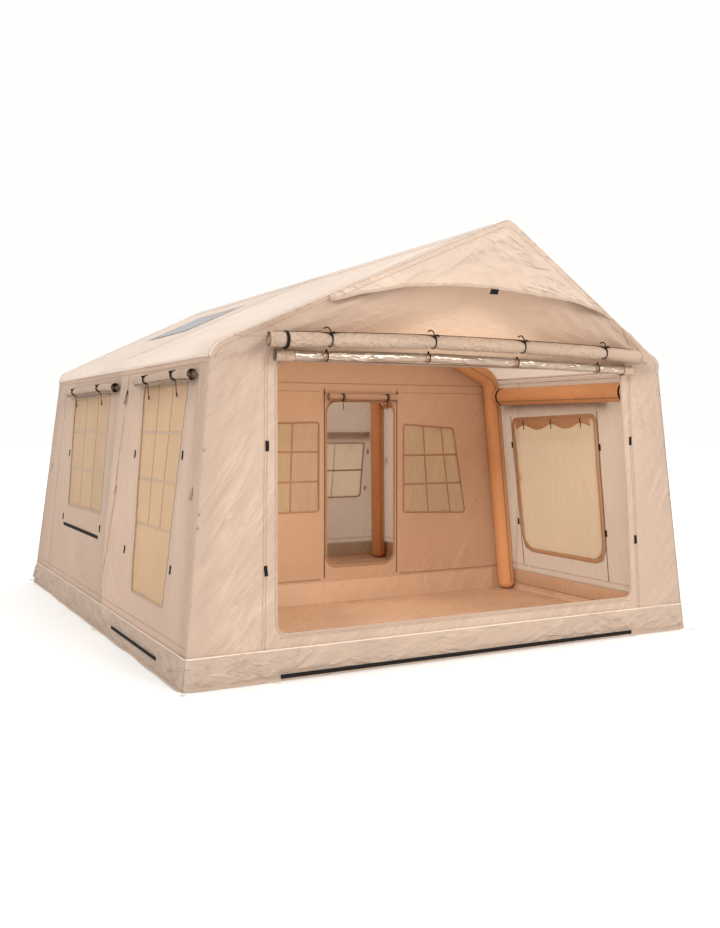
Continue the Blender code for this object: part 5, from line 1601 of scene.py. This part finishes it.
def make_skirts():
    """Loose ground flaps: pleated where they meet the ground, straight along the seam above."""
    for tag, place, n, u0, u1, seed in (
        ("front", lambda u, v: (u, front_y(v) - SKIRT_OUT, v), (0, -1.0, FRONT_LEAN), -side_x(0.09) - SKIRT_OUT, side_x(0.09) + SKIRT_OUT, 111),
        ("rear", lambda u, v: (u, rear_y(v) + SKIRT_OUT, v), (0, 1.0, REAR_LEAN), -side_x(0.09) - SKIRT_OUT, side_x(0.09) + SKIRT_OUT, 112),
        ("left", lambda u, v: (-side_x(v) - SKIRT_OUT, u, v), (-SIDE_N[0], 0, SIDE_N[2]), front_y(0.09), rear_y(0.09), 113),
        ("right", lambda u, v: (side_x(v) + SKIRT_OUT, u, v), (SIDE_N[0], 0, SIDE_N[2]), front_y(0.09), rear_y(0.09), 114),
    ):
        n = np.asarray(n, float) / np.linalg.norm(n)
        length = u1 - u0
        nu, nv = int(length / 0.0125), 19
        us = np.linspace(0, 1, nu)
        vs = np.linspace(0, 1, nv)
        U, V = np.meshgrid(us, vs, indexing="ij")
        z = 0.0015 + (SKIRT_TOP - 0.0015) * V
        # the ends follow the leaning corners
        if tag in ("front", "rear"):
            half = side_x(z) + SKIRT_OUT
            u = -half + 2 * half * U
        else:
            gap = SKIRT_OUT - CLOTH - 0.0012
            a, b = front_y(z) - gap, rear_y(z) + gap - 0.0006
            u = a + (b - a) * U
        uu, zz = u.ravel(), z.ravel()
        low = 1 - smooth01((V.ravel() - 0.02) / 0.98)
        ends = smooth01(np.minimum(U.ravel(), 1 - U.ravel()) * length / 0.06)
        wave = 0.5 + 0.5 * noise3(np.stack([uu / 0.42, zz * 0.8, np.full_like(uu, seed + 0.3)], 1))
        pleat = np.maximum(0, fold(uu, zz * 0.35, math.radians(86), 0.150, 1.2, seed + 1))
        pin = np.zeros_like(uu)
        for u_pin in ((-1.88, -1.37, 1.43, 1.88) if tag == "front" else (-1.88, 1.88) if tag == "rear" else (-2.25, -0.27, 2.25)):
            pin += fan(uu, zz, u_pin, -0.03, 28, 0.8, 0.60, 0.20, seed + 3 + u_pin, 0.02, 2.6) + fan(uu, zz, u_pin, -0.03, 152, 0.8, 0.60, 0.20, seed + 4 + u_pin, 0.02, 2.6)
        sag = np.maximum(0, fold(uu, zz, math.radians(14), 0.042, 6.0, seed + 5))
        corner = smooth01(np.minimum(U.ravel(), 1 - U.ravel()) * length / 0.022)
        hem_flat = smooth01((V.ravel() - 0.04) / 0.22)
        d = low * ends * (0.018 * wave + 0.004 * pleat * hem_flat) + corner * 0.022 * hem_flat * np.clip(pin, 0, 1) * (1 - smooth01((V.ravel() - 0.80) / 0.20))
        d += ends * 0.012 * sag * smooth01((V.ravel() - 0.1) / 0.3) * (1 - smooth01((V.ravel() - 0.75) / 0.25))
        d += (1 - low) * ends * 0.0030 * np.maximum(0, fold(uu, zz, math.radians(80), 0.05, 2.0, seed + 2))
        # flat behind the black strips
        if tag == "front":
            near = (1 - smooth01((np.abs(uu - 0.037) - 1.345) / 0.05)) * (1 - smooth01((zz - 0.040) / 0.035))
            d = d * (1 - near) + np.minimum(d, 0.0004) * near
        if tag == "left":
            near = (1 - smooth01((np.abs(uu + 1.192) - 0.535) / 0.05)) * (1 - smooth01((np.abs(zz - 0.080) - 0.015) / 0.025))
            d = d * (1 - near) + np.minimum(d, 0.0010) * near
        P = np.stack([np.broadcast_to(c, uu.shape) for c in place(uu, zz)], 1) + n * np.clip(d, 0, 0.034)[:, None]
        # the foot turns out along the ground
        foot = V.ravel() < 1e-6
        P[foot] += np.array((n[0], n[1], 0)) * (0.010 * ends[foot] * (0.4 + wave[foot]))[:, None]
        P[:, 2] = np.maximum(P[:, 2], 0.0008)
        faces = [(i * nv + j, (i + 1) * nv + j, (i + 1) * nv + j + 1, i * nv + j + 1) for i in range(nu - 1) for j in range(nv - 1)]
        a, b, c = (P[[f[k] for f in faces]] for k in range(3))
        if float(np.cross(b - a, c - a).sum(axis=0) @ n) < 0:
            faces = [f[::-1] for f in faces]
        obj = piece(f"ground_skirt_{tag}", P, faces, M_SKIRT if tag in ("front", "rear") else M_SKIRT_SIDE)
        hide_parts(f"skirt_{tag}")
        t = Acc()
        top = P[nv - 1::nv]
        # pale strip along the top edge: painted highlight on the fold
        t.strip(top + n * 0.0006 + np.array((0, 0, -0.005)), n, 0.010, 0.0016, 1, 0.0004)
        # dark tape just above the foot: painted thin shadow line along the ground
        hem = P[1::nv]
        t.strip(hem + n * 0.0008, n, 0.010, 0.0012, 0)
        t.make(f"ground_skirt_painted_lines_{tag}", [M_TAPE, M_SKIRT_FOLD_HIGHLIGHT], slot="wall_cloth")


make_skirts()


# ---------------------------------------------------------------- air beams
def fillet_path(points, radius, steps=9):
    pts = [np.array(p, float) for p in points]
    out = [pts[0]]
    for before, p, after in zip(pts, pts[1:], pts[2:]):
        a = (before - p) / np.linalg.norm(before - p)
        b = (after - p) / np.linalg.norm(after - p)
        half = math.acos(float(a @ b)) / 2
        back = radius / math.tan(half)
        mid = (a + b) / np.linalg.norm(a + b)
        centre = p + mid * radius / math.sin(half)
        u = (p + a * back - centre) / radius
        w = mid * -1.0
        v = w - u * float(w @ u)
        v /= np.linalg.norm(v)
        sweep = math.pi - 2 * half
        for s in range(steps + 1):
            t = sweep * s / steps
            out.append(centre + radius * (u * math.cos(t) + v * math.sin(t)))
    out.append(pts[-1])
    return out


def arch_points(post_y, apex_y):
    low = 0.020
    return [(-post_x(low), post_y(low), low), (-KNEE_X, post_y(KNEE_Z), KNEE_Z), (0.0, apex_y, APEX_Z),
            (KNEE_X, post_y(KNEE_Z), KNEE_Z), (post_x(low), post_y(low), low)]


def beam(name, nodes, path, bends=(), inward=(0.0, 0.0, -1.0), seed=1, collar=True, sides=28, step=0.028):
    """A sleeved air beam: round and tight, puckered inside its bends, with a sewn line and a zip along the sleeve."""
    coarse = densify(path, step)
    # even spacing
    seg = np.linalg.norm(np.diff(coarse, axis=0), axis=1)
    s = np.concatenate([[0], np.cumsum(seg)])
    n = int(s[-1] / step)
    at = np.linspace(0, s[-1], n + 1)
    pts = np.stack([np.interp(at, s, coarse[:, i]) for i in range(3)], 1)
    t = np.gradient(pts, axis=0)
    t /= np.linalg.norm(t, axis=1)[:, None]
    turn = np.gradient(t, axis=0) / np.maximum(np.gradient(at), 1e-9)[:, None]
    ref = np.asarray(inward, float)
    verts = []
    refs = []
    for i in range(len(pts)):
        r0 = ref - t[i] * float(ref @ t[i])
        if np.linalg.norm(r0) < 0.25:
            r0 = refs[-1] - t[i] * float(refs[-1] @ t[i]) if refs else np.cross(t[i], (0, 1, 0))
        refs.append(r0 / np.linalg.norm(r0))
    for i in range(1, len(refs)):
        if float(refs[i] @ refs[i - 1]) < 0:
            refs[i] = -refs[i]
    refs = np.array(refs)
    for _ in range(6):
        refs[1:-1] = refs[:-2] * 0.25 + refs[1:-1] * 0.5 + refs[2:] * 0.25
        refs -= t * (refs * t).sum(axis=1)[:, None]
        refs /= np.linalg.norm(refs, axis=1)[:, None]
    other = np.cross(t, refs)
    ang = np.arange(sides) * 2 * math.pi / sides
    end_gap = np.minimum(at, at[-1] - at)
    cap = np.sqrt(np.clip(1 - (1 - np.clip(end_gap / 0.030, 0, 1)) ** 2, 0, 1)) * 0.30 + 0.70
    ring = []
    for k, a in enumerate(ang):
        d = refs * math.cos(a) + other * math.sin(a)
        inner = np.clip((turn * d).sum(axis=1) / 6.5, 0, 1)
        p = noise3(np.stack([at / 0.030, np.full_like(at, math.cos(a) * 0.9 + seed), np.full_like(at, math.sin(a) * 0.9)], 1))
        q = noise3(np.stack([at / 0.22, np.full_like(at, math.cos(a) * 0.7 + seed + 5), np.full_like(at, math.sin(a) * 0.7)], 1))
        r = BEAM_R * cap - 0.0008 - 0.0009 * (1 + q) - inner * 0.0045 * (0.6 + p) - 0.0006 * (1 + p)
        ring.append(pts + d * r[:, None])
    ring = np.array(ring).transpose(1, 0, 2)
    faces = []
    m = len(pts)
    for i in range(m - 1):
        for j in range(sides):
            j2 = (j + 1) % sides
            faces.append((i * sides + j, i * sides + j2, (i + 1) * sides + j2, (i + 1) * sides + j))
    faces.append(tuple(range(sides - 1, -1, -1)))
    faces.append(tuple((m - 1) * sides + j for j in range(sides)))
    obj = piece(name, ring.reshape(-1, 3), faces, M_BEAM)
    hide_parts(*nodes)
    a = Acc()
    keep = slice(2, m - 2)
    # sewn edge of the sleeve and the zip beside it
    for ang0, width, mat, lift in ((0.0, 0.010, 0, 0.0002), (2.45, 0.006, 1, 0.0002)):
        d = refs * math.cos(ang0) + other * math.sin(ang0)
        a.strip(pts[keep] + d[keep] * (BEAM_R - 0.0012 + lift), d[keep], width, 0.0011, mat)
    if collar:
        for i in (3, m - 4):
            d = refs[i]
            c = np.array([pts[i] + (refs[i] * math.cos(q) + other[i] * math.sin(q)) * (BEAM_R - 0.0006) for q in np.linspace(0, 2 * math.pi, 33)])
            nn = np.array([refs[i] * math.cos(q) + other[i] * math.sin(q) for q in np.linspace(0, 2 * math.pi, 33)])
            a.strip(c, nn, 0.020, 0.0011, 2)
    a.make(name + "_seams", [M_EDGE, M_EDGE, M_BLACK], slot="beam_cloth")
    return obj


def make_beams():
    beam("air_arch_front", ["arch_front"], fillet_path(arch_points(front_post_y, FRONT_APEX_Y), BEND_R), inward=(0.0, 1.0, -0.2), seed=1, collar=False)
    beam("air_arch_middle", ["arch_middle"], fillet_path(arch_points(lambda z: MID_Y, MID_Y), BEND_R), inward=(0.0, -1.0, -0.3), seed=2, collar=False)
    beam("air_arch_rear", ["arch_rear"], fillet_path(arch_points(rear_post_y, REAR_APEX_Y), BEND_R), inward=(0.0, -1.0, -0.2), seed=3, collar=False)
    beam("air_ridge_front", ["ridge_beam_front"], [(0, -2.42, APEX_Z), (0, MID_Y - 0.080, APEX_Z)], seed=4)
    beam("air_ridge_rear", ["ridge_beam_rear"], [(0, PART_Y + 0.008, APEX_Z), (0, 2.42, APEX_Z)], seed=5)
    x = post_x(EAVE_BEAM_Z)
    a = front_post_y(EAVE_BEAM_Z) + BEAM_R + 0.006
    b = rear_post_y(EAVE_BEAM_Z) - BEAM_R - 0.016
    for tag, s in (("left", -1), ("right", 1)):
        beam(f"air_eave_{tag}_front", [f"eave_beam_{tag}_front"], [(s * x, a, EAVE_BEAM_Z), (s * x, MID_Y - 0.080, EAVE_BEAM_Z)],
             inward=(-s * 0.8, 0, -0.6), seed=6 + s)
        beam(f"air_eave_{tag}_rear", [f"eave_beam_{tag}_rear"], [(s * x, PART_Y + 0.008, EAVE_BEAM_Z), (s * x, b, EAVE_BEAM_Z)],
             inward=(-s * 0.8, 0, -0.6), seed=9 + s)


make_beams()


# ---------------------------------------------------------------- rolled covers
class Roll:
    """A rolled-up cover: one cloth wound several turns, drawn in at its ties, with loose ends."""

    def __init__(self, name, node, body, a, b, r, mats, ties, seed, turns=4.0, sway=None, out=(0, -1, 0), pinch=0.80, step=0.026,
                 crumple=1.0, taper=0.0, lip=0.010):
        self.a, self.b, self.r, self.seed = np.array(a, float), np.array(b, float), r, seed
        self.axis = self.b - self.a
        self.length = float(np.linalg.norm(self.axis))
        self.axis /= self.length
        self.up = np.array((0.0, 0.0, 1.0))
        out = np.asarray(out, float)
        out = out - self.axis * float(out @ self.axis)
        self.out = out / np.linalg.norm(out)
        self.up = np.cross(self.axis, self.out)
        if self.up[2] < 0:
            self.up = -self.up
        self.ties = list(ties)
        self.pinch, self.sway_points, self.crumple, self.taper = pinch, sway, crumple, taper
        self.body, self.name = body, name
        n = max(12, int(self.length / step))
        s = np.linspace(0, self.length, n + 1)
        for t in self.ties:
            s = np.concatenate([s, [t - 0.030, t - 0.014, t, t + 0.014, t + 0.030]])
        s = np.unique(np.round(np.clip(s, 0, self.length), 4))
        keep = [0]
        for i in range(1, len(s)):
            if s[i] - s[keep[-1]] > 0.006 or i == len(s) - 1:
                keep.append(i)
        s = s[keep]
        per = 20
        k = int(turns * per)
        th = np.arange(k + 1) * 2 * math.pi / per
        frac = th / th[-1]
        wind = 0.16 + 0.84 * np.clip(frac * turns / (turns - 0.10), 0, 1)
        S, T = np.meshgrid(s, th, indexing="ij")
        F = np.broadcast_to(frac, S.shape)
        W = np.broadcast_to(wind, S.shape)
        r_out = self.local(S, T, F)
        R = r_out * (W - (1 - F) * 0.02)
        # the ends: inner turns stand in or out of the roll a little
        edge = 0.004 * noise3(np.stack([np.cos(th) * 0.8 + seed, np.sin(th) * 0.8, frac * 3], 1))
        tele = (0.010 * (1 - frac) + edge)[None, :]
        end_a = np.exp(-S / 0.03)
        end_b = np.exp(-(self.length - S) / 0.03)
        shift = tele * (end_a - end_b)
        phase = 0.35 * noise3(np.stack([S.ravel() / 0.9, np.full(S.size, seed + 0.7), np.zeros(S.size)], 1)).reshape(S.shape)
        ang = T + phase + 2.2
        c = self.centre(S.ravel()).reshape(*S.shape, 3)
        P = c + self.axis * shift[..., None] + self.out * (R * np.cos(ang))[..., None] + self.up * (R * np.sin(ang))[..., None]
        rows, cols = S.shape
        faces, index = [], []
        for i in range(rows - 1):
            for j in range(cols - 1):
                faces.append((i * cols + j, i * cols + j + 1, (i + 1) * cols + j + 1, (i + 1) * cols + j))
                index.append(0 if frac[j] > 0.55 else 1)
        self.obj = piece(name, P.reshape(-1, 3), faces, mats, body, index=index)
        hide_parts(node)

    def centre(self, s):
        s = np.atleast_1d(np.asarray(s, float))
        p = self.a + self.axis * s[:, None]
        if self.sway_points is not None:
            q, dz = np.array(self.sway_points, float).T
            fine = np.linspace(0, self.length, 121)
            z = np.interp(fine, q, dz)
            k = np.exp(-np.linspace(-2, 2, 17) ** 2)
            pad = np.concatenate([np.full(8, z[0]), z, np.full(8, z[-1])])
            z = np.convolve(pad, k / k.sum(), "valid")
            p = p + self.up * np.interp(s, fine, z)[:, None]
        w = np.stack([s / 0.5, np.full_like(s, self.seed + 2.2), np.zeros_like(s)], 1)
        return p + self.up * (0.0022 * noise3(w))[:, None] + self.out * (0.0015 * noise3(w + 7.7))[:, None]

    def local(self, S, T, F=1.0):
        """Outer radius at the distance S along and the angle T."""
        r = np.full(S.shape, self.r * 0.985)
        for t in self.ties:
            r *= 1 - (1 - self.pinch) * np.exp(-(((S - t) / 0.034) ** 2))
        if self.taper:
            r *= 1 - self.taper * (S / self.length)
        x, c, d = S.ravel(), np.cos(T).ravel(), np.sin(T).ravel()
        big = noise3(np.stack([x / 0.28, c * 0.7 + self.seed, d * 0.7], 1)).reshape(S.shape)
        crease = noise3(np.stack([x / 0.055 + 3 * d, c * 1.5 + self.seed + 4, d * 1.5], 1)).reshape(S.shape)
        gather = np.zeros(S.shape)
        for t in self.ties:
            gather += np.exp(-(((S - t) / 0.085) ** 2))
        pleat = noise3(np.stack([x / 0.13, c * 3.4 + self.seed + 8, d * 3.4], 1)).reshape(S.shape)
        r *= 1 - self.crumple * (0.030 * (1 + big) + 0.014 * np.abs(crease) * 2 + 0.055 * np.clip(gather, 0, 1) * np.abs(pleat) * 1.6)
        return r

    def band(self, acc, s, width, mat, thick=0.0022, lift=0.0012, gap=0.0):
        """A strap round the roll; returns its centre and radius."""
        q = np.linspace(gap, 2 * math.pi - gap, 37)
        c = self.centre([s])[0]
        r = float(np.max(self.local(np.full(24, s), np.linspace(0, 2 * math.pi, 24)))) + lift
        ring = c + r * (self.out * np.cos(q)[:, None] + self.up * np.sin(q)[:, None])
        nn = self.out * np.cos(q)[:, None] + self.up * np.sin(q)[:, None]
        acc.strip(ring, nn, width, thick, mat)
        return c, r

    def cord_band(self, acc, s, radius, mat, tilt=0.0):
        q = np.linspace(0, 2 * math.pi, 41)[:-1]
        c = self.centre([s])[0]
        r = float(np.max(self.local(np.full(24, s), np.linspace(0, 2 * math.pi, 24)))) + radius * 0.8
        ring = c + r * (self.out * np.cos(q)[:, None] + self.up * np.sin(q)[:, None]) + self.axis * (tilt * np.cos(q + 0.7))[:, None]
        acc.tube(ring, radius, 8, mat, closed=True)
        return c, r


def hook_tie(acc, roll, s, mat=0, size=1.0, lean=1.0):
    """Elastic round the roll that ends in a knot with a hook-shaped tail standing up from it."""
    c, r = roll.cord_band(acc, s, 0.0030, mat, 0.003)
    roll.cord_band(acc, s + 0.007, 0.0026, mat, -0.004)
    a = math.radians(58)
    knot = c + (r + 0.004) * (roll.out * math.cos(a) + roll.up * math.sin(a))
    e = roll.out * math.cos(a) + roll.up * math.sin(a)
    acc.slab(knot, roll.axis, np.cross(roll.axis, e), e, (0.020, 0.012, 0.012), mat, 0.35)
    t = np.linspace(0, 1, 12)
    path = knot + e * 0.004 + roll.axis * (lean * (-0.052 * size) * t)[:, None] + roll.up * ((0.034 * np.sin(t * 2.3)) * size)[:, None] + roll.out * (0.010 * np.sin(t * 3.0))[:, None]
    acc.tube(path, np.linspace(0.0034, 0.0042, 12), 8, mat)
    t = np.linspace(0, 1, 8)
    path = knot + e * 0.004 + roll.axis * (lean * 0.026 * size * t)[:, None] + roll.up * (0.010 * np.sin(t * 3.1))[:, None] + roll.out * (0.006 * t)[:, None]
    acc.tube(path, 0.0034, 8, mat)


def toggle_tie(acc, roll, s, mat=0, hang=0.075, tilt=0.003, away=0.0):
    """Black elastic round a side roll, its short end and toggle lying against the window below."""
    roll.band(acc, s, 0.011, mat, 0.0024, 0.0012)
    c, r = roll.cord_band(acc, s + 0.012, 0.0026, mat, tilt)
    e = roll.out * 0.80 + roll.up * 0.60
    knot = c + roll.axis * 0.006 + e * (r + 0.003)
    acc.slab(knot, roll.axis, np.cross(roll.axis, e), e, (0.026, 0.014, 0.011), mat, 0.35)
    low = c - roll.up * (r + 0.001) + roll.axis * 0.004 - roll.out * (r * 0.30)
    t = np.linspace(0, 1, 9)
    path = low - roll.up * (hang * t)[:, None] + roll.axis * (0.010 * np.sin(t * 2.5))[:, None] + roll.out * (away * t - 0.006 * np.sin(t * 1.6))[:, None]
    acc.strip(path, roll.out, 0.0055, 0.0030, mat)
    end = path[-1]
    acc.slab(end - roll.up * 0.010, roll.axis, roll.up, roll.out, (0.012, 0.026, 0.009), 1, 0.35)


def curtain(name, pts_top, pts_low, mat, rows=44, tab=None):
    """Cloth that hangs from the header to the back of a roll."""
    top, low = np.array(pts_top, float), np.array(pts_low, float)
    cols = len(top)
    verts, faces = [], []
    for i in range(rows):
        t = i / (rows - 1)
        verts += list(top * (1 - t) + low * t)
    for i in range(rows - 1):
        for j in range(cols - 1):
            faces.append((i * cols + j, (i + 1) * cols + j, (i + 1) * cols + j + 1, i * cols + j + 1))
    obj = piece(name, verts, faces, mat, ride=False)
    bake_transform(obj)
    return obj


def make_front_rolls():
    door = Roll("door_cover_roll", "door_roll", "door_roll", (-1.400, -2.326, 1.965), (1.420, -2.326, 1.965), 0.048, [M_ROLL, M_ROLL_IN],
                (0.384, 1.086, 1.761, 2.440), 131, 5.0,
                ((0, -0.010), (0.12, -0.006), (0.55, 0.004), (1.05, 0.014), (1.75, 0.008), (2.42, -0.006), (2.82, -0.028)), pinch=0.74, lip=0.012)
    t = Acc()
    door.band(t, 0.105, 0.020, 0, 0.0030, 0.0014)
    for s in door.ties:
        hook_tie(t, door, s, 0)
    # sewn end of the cover near its right end
    door.cord_band(t, 2.745, 0.0018, 1)
    t.make("door_cover_ties", [M_BLACK, M_TAPE], body="door_roll", slot="black_webbing")
    film = Roll("film_cover_roll", "film_roll", "film_roll", (-1.320, -2.238, 1.870), (1.360, -2.238, 1.870), 0.0355, [M_FILM, M_FILM],
                (0.304, 1.006, 1.681, 2.360), 151, 4.0,
                ((0, 0.006), (0.5, 0.012), (1.07, 0.022), (1.8, 0.006), (2.5, -0.012), (2.68, -0.018)), pinch=0.80, crumple=1.7)
    t = Acc()
    for s0, s1 in ((-0.004, 0.115), (2.600, 2.684)):
        # bound cloth end of the film, one more turn over it
        n, sides = 9, 28
        ring = []
        for s in np.linspace(s0, s1, n):
            q = np.arange(sides) * 2 * math.pi / sides
            r = film.local(np.full(sides, np.clip(s, 0, film.length)), q) + 0.0016
            c = film.centre([s])[0]
            ring.append(c + r[:, None] * (film.out * np.cos(q)[:, None] + film.up * np.sin(q)[:, None]))
        ring = np.array(ring)
        f = [(i * sides + j, i * sides + (j + 1) % sides, (i + 1) * sides + (j + 1) % sides, (i + 1) * sides + j) for i in range(n - 1) for j in range(sides)]
        t.add(ring.reshape(-1, 3), f, 0)
    for s in (0.055, 0.112, 2.605):
        film.cord_band(t, s, 0.0018, 1)
    for s in film.ties:
        film.cord_band(t, s - 0.008, 0.0020, 1, 0.003)
        film.cord_band(t, s + 0.010, 0.0020, 1, -0.002)
        c, r = film.band(t, s + 0.020, 0.006, 2, 0.0020, 0.0010)
        top = c + film.up * (r + 0.003) + film.out * 0.004
        t.slab(top, film.axis, film.out, film.up, (0.012, 0.010, 0.018), 2, 0.35)
    t.make("film_cover_ties", [M_ROLL, M_EDGE, M_BLACK], body="film_roll", slot="film_roll")
    # cloth from the header down to each roll
    xs = np.linspace(-1.355, 1.330, 135)
    z = 2.012 + np.interp(xs, (-1.4, -0.35, 1.42), (-0.004, 0.006, -0.014))
    wave = 0.002 * noise3(np.stack([xs / 0.08, xs * 0, xs * 0 + 5.5], 1))
    back = np.array([front_sheet_y(np.array([x]), np.array([zz]))[0] for x, zz in zip(xs, z)])
    top = np.stack([xs, back - 0.004, z], 1)
    low = door.centre(xs + 1.400) + np.array((0.0, -0.004, 0.0490)) + wave[:, None] * np.array((0.0, 0.3, 0.0))
    curtain("door_cover_header", top, low, M_ROLL, rows=64)
    xs = np.linspace(-1.300, 1.340, 133)
    top = np.stack([xs, front_y(1.925) - 0.010 + 0 * xs, np.full_like(xs, 1.925)], 1)
    low = np.stack([xs, np.full_like(xs, -2.238 + 0.031), np.full_like(xs, 1.872)], 1)
    curtain("film_cover_header", top, low, M_FILM_SHEET)


make_front_rolls()


def make_side_rolls():
    for name, s, y0, y1, z, ties, seed in (
        ("left_front", -1, -2.010, -0.827, 1.772, (-1.70, -1.105), 171), ("left_rear", -1, -0.282, 1.322, 1.752, (0.172, 1.046), 181),
        ("right_front", 1, -1.62, -0.28, 1.640, (-1.35, -0.60), 191), ("right_rear", 1, -0.12, 1.322, 1.752, (0.172, 1.046), 201),
    ):
        r = 0.038
        x = s * (side_x(z) + (r + 0.005) * math.hypot(1.0, SIDE_LEAN))
        node = f"cover_roll_{name}"
        roll = Roll(f"window_cover_roll_{name}", node, node, (x, y0, z), (x, y1, z), r, [M_ROLL, M_ROLL_IN], [a - y0 for a in ties], seed, 4.5,
                    ((0, -0.004), (0.4, 0.004), (y1 - y0, -0.003)), out=(s, 0, 0), pinch=0.76, crumple=1.25)
        t = Acc()
        for a in ties:
            toggle_tie(t, roll, a - y0)
        t.make(f"window_cover_ties_{name}", [M_BLACK, M_PLASTIC], body=node, slot="black_webbing")
        ys = np.linspace(y0 + 0.050, y1 - 0.110, int((y1 - y0) / 0.03))
        zt = z + r + 0.006
        top = np.stack([np.full_like(ys, s * (side_x(zt) + 0.0035)), ys, np.full_like(ys, zt)], 1)
        zl = z + 0.006
        low = np.stack([np.full_like(ys, x - s * (r - 0.005)), ys, np.full_like(ys, zl)], 1)
        curtain(f"window_cover_header_{name}", top, low, M_ROLL, rows=34)
    z = 1.345
    y = rear_y(z) + 0.042
    roll = Roll("window_cover_roll_rear_wall", "cover_roll_rear_wall", "cover_roll_rear_wall", (0.42, y, z), (1.615, y, z), 0.036, [M_ROLL, M_ROLL_IN],
                (0.25, 0.95), 211, 4.5, out=(0, 1, 0), pinch=0.76, crumple=1.25)
    t = Acc()
    for a in (0.25, 0.95):
        toggle_tie(t, roll, a, away=0.014)
    t.make("window_cover_ties_rear_wall", [M_BLACK, M_PLASTIC], body="cover_roll_rear_wall", slot="black_webbing")
    xs = np.linspace(0.432, 1.603, 40)
    zt, zl = z + 0.050, z + 0.006
    top = np.stack([xs, np.full_like(xs, rear_y(zt) + 0.0035), np.full_like(xs, zt)], 1)
    low = np.stack([xs, np.full_like(xs, y - 0.031), np.full_like(xs, zl)], 1)
    curtain("window_cover_header_rear_wall", top, low, M_ROLL, rows=26)
    # rolled door of the partition
    z, y = 1.705, PART_Y - 0.044
    roll = Roll("partition_cover_roll", "partition_door_roll", "partition_door_roll", (0.022, y, z), (0.668, y, z), 0.0375, [M_LINER, M_ROLL_IN],
                (0.128, 0.544), 221, 4.5, out=(0, -1, 0), pinch=0.74, crumple=1.3)
    t = Acc()
    for a in (0.128, 0.544):
        roll.band(t, a, 0.010, 0, 0.0022, 0.0012)
        roll.cord_band(t, a + 0.012, 0.0022, 0, 0.003)
        c, r = roll.centre([a])[0], roll.r * 0.8
        k = np.linspace(0, 1, 8)
        low = c - roll.up * (r + 0.002) + roll.out * 0.004
        t.strip(low - roll.up * (0.075 * k)[:, None] + roll.axis * (0.006 * np.sin(k * 3))[:, None], roll.out, 0.005, 0.0024, 0)
    t.make("partition_cover_ties", [M_BLACK], body="partition_door_roll", slot="black_webbing")
    xs = np.linspace(0.034, 0.656, 26)
    top = np.stack([xs, np.full_like(xs, PART_Y - 0.0045), np.full_like(xs, z + 0.052)], 1)
    low = np.stack([xs, np.full_like(xs, y + 0.033), np.full_like(xs, z + 0.006)], 1)
    curtain("partition_cover_header", top, low, M_LINER, rows=40)


make_side_rolls()


# ---------------------------------------------------------------- nodes that keep their CAD shape
def dress_cad():
    finish = {
        "skylight_left": M_PANE, "skylight_right": M_PANE, "strip_front": M_BLACK, "strip_left_low": M_BLACK, "strip_left_rear": M_BLACK,
        "zip_track_left": M_ZIP, "zip_track_right": M_ZIP, "zip_slider_left": M_PLASTIC, "zip_slider_right": M_PLASTIC,
        "valve_body": M_PLASTIC, "valve_cap": M_PLASTIC,
    }
    for tag in ("front_left", "front_right", "rear_left", "rear_right", "door_left", "door_right", "side_left", "side_right"):
        finish[f"stake_loop_{tag}"] = M_WEB
    for name, mat in finish.items():
        obj = bpy.data.objects[name]
        mesh = obj.data
        if not mesh.materials:
            mesh.materials.append(mat)
        for i in range(len(mesh.materials)):
            mesh.materials[i] = mat


dress_cad()
